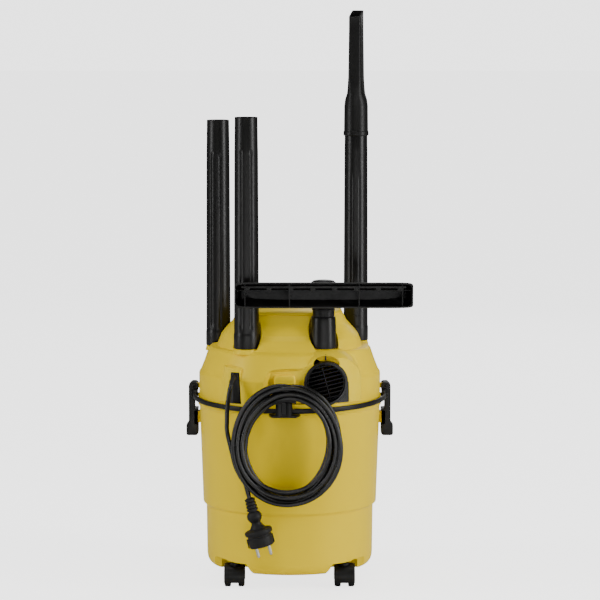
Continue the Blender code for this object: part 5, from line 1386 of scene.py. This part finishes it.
# How bright the floor and the world are to the camera alone, and what the world gives to the
# cleaner.  The backdrop is pale in the picture while the softboxes light the cleaner.
FLOOR_GLOW, SKY_GLOW, SKY_FILL = 2.55, 2.7, 0.12
SOFTBOXES = {     # place, height aimed at, size in metres, watts
    "left_softbox": ((-2.6, -0.9, 1.3), 0.35, (0.7, 2.6), 44),
    "right_softbox": ((2.4, -1.1, 1.1), 0.35, (0.7, 2.4), 60),
    "low_softbox": ((0.3, -2.4, 0.03), 0.34, (2.2, 0.5), 17),
    "camera_softbox": ((-0.9, -3.4, 2.8), 0.3, (1.0, 1.0), 16),
    "top_softbox": ((0.0, -0.3, 3.0), 0.3, (1.5, 1.0), 20),
    "front_softbox": ((0.8, 3.2, 1.6), 0.3, (1.6, 1.4), 12),
}
FLOOR_REACH = 26.0


def build_stage():
    """The floor, the soft light and the camera."""
    settings = bpy.context.scene.vacuum_stage
    camera = bpy.data.cameras.new("camera")
    camera.lens = settings.lens
    camera.sensor_width = 36.0
    camera.clip_end = 60.0
    eye = link(bpy.data.objects.new("camera", camera))
    eye.location = (settings.camera_across, -settings.camera_distance, settings.camera_height)
    eye.rotation_euler = (math.radians(90) - settings.camera_down, 0.0, 0.0)
    bpy.context.scene.camera = eye

    u = np.linspace(-FLOOR_REACH, FLOOR_REACH, 13)
    x, y = np.meshgrid(u, u, indexing="ij")
    floor = mesh_object("studio_floor", np.stack([x, y, np.zeros_like(x)], axis=-1),
                        grid_faces(len(u), len(u), wrap_columns=False))
    made, n, shader, where = material("pale_floor")
    n.feed(shader, "Roughness", n.math("MULTIPLY_ADD", n.noise(where, 40.0, 3.0), 0.1, 0.6))
    colour = tuple(bpy.context.scene.vacuum_colours.floor)
    shader.inputs["Base Color"].default_value = (*colour, 1)
    n.feed(shader, "Emission Color", n.add("ShaderNodeLightPath").outputs["Is Camera Ray"])
    shader.inputs["Emission Strength"].default_value = FLOOR_GLOW
    floor.data.materials.append(made)

    world = bpy.data.worlds.new("studio")
    bpy.context.scene.world = world
    world.use_nodes = True
    background = world.node_tree.nodes["Background"]
    background.inputs["Color"].default_value = (1.0, 1.0, 1.0, 1.0)
    air = Nodes(world.node_tree)
    seen = air.add("ShaderNodeLightPath").outputs["Is Camera Ray"]
    air.feed(background, "Strength", air.math("MULTIPLY_ADD", seen, SKY_GLOW, SKY_FILL))
    for name, (at, aim, size, power) in SOFTBOXES.items():
        area_light(name, at, aim, size, power * settings.light)


# Operators --------------------------------------------------------------------------------------
def operator(label, build):
    """An operator class that runs one builder and is named after it."""
    def execute(self, context):
        build()
        return {"FINISHED"}
    idname = build.__name__.split("_", 1)[1]
    return type("VACUUM_OT_" + idname, (bpy.types.Operator,),
                {"bl_idname": "vacuum." + idname, "bl_label": label, "__doc__": build.__doc__,
                 "execute": execute})


OPERATORS = [operator(label, build) for label, build in (
    ("Stage", build_stage), ("Mains lead", build_cord), ("Drum", build_drum),
    ("Hose inlet", build_inlet), ("Casters", build_casters), ("Head", build_head),
    ("Cord gland", build_gland), ("Blower port", build_port), ("Cord hook", build_hook),
    ("Bail", build_bail), ("Latches", build_latches), ("Switch", build_switch),
    ("Suction tubes", build_tubes), ("Crevice tool", build_crevice_tool),
    ("Floor nozzle", build_nozzle), ("Inner pieces", finish_inside))]


class VACUUM_PT_panel(bpy.types.Panel):
    """Lists the cleaner's pieces, sizes and colours."""
    bl_idname = "VACUUM_PT_panel"
    bl_label = "Drum vacuum"
    bl_space_type = "VIEW_3D"
    bl_region_type = "UI"
    bl_category = "Drum vacuum"

    def draw(self, context):
        for settings in (context.scene.vacuum_sizes, context.scene.vacuum_colours,
                         context.scene.vacuum_stage):
            box = self.layout.box()
            for key in settings.bl_rna.properties.keys():
                if key not in ("rna_type", "name"):
                    box.prop(settings, key)
        for made in OPERATORS:
            self.layout.operator(made.bl_idname)


CLASSES = [VacuumColours, VacuumSizes, VacuumStage, *OPERATORS, VACUUM_PT_panel]
GROUPS_OF_SETTINGS = {"vacuum_colours": VacuumColours, "vacuum_sizes": VacuumSizes,
                      "vacuum_stage": VacuumStage}


def register():
    for made in CLASSES:
        bpy.utils.register_class(made)
    for name, made in GROUPS_OF_SETTINGS.items():
        setattr(bpy.types.Scene, name, bpy.props.PointerProperty(type=made))


def unregister():
    for name in GROUPS_OF_SETTINGS:
        delattr(bpy.types.Scene, name)
    for made in reversed(CLASSES):
        bpy.utils.unregister_class(made)


def main():
    """Registers the classes, makes every piece, and writes both boxes."""
    register()
    for made in OPERATORS:
        getattr(bpy.ops.vacuum, made.bl_idname.split(".")[1])()


if __name__ == "__main__":
    main()
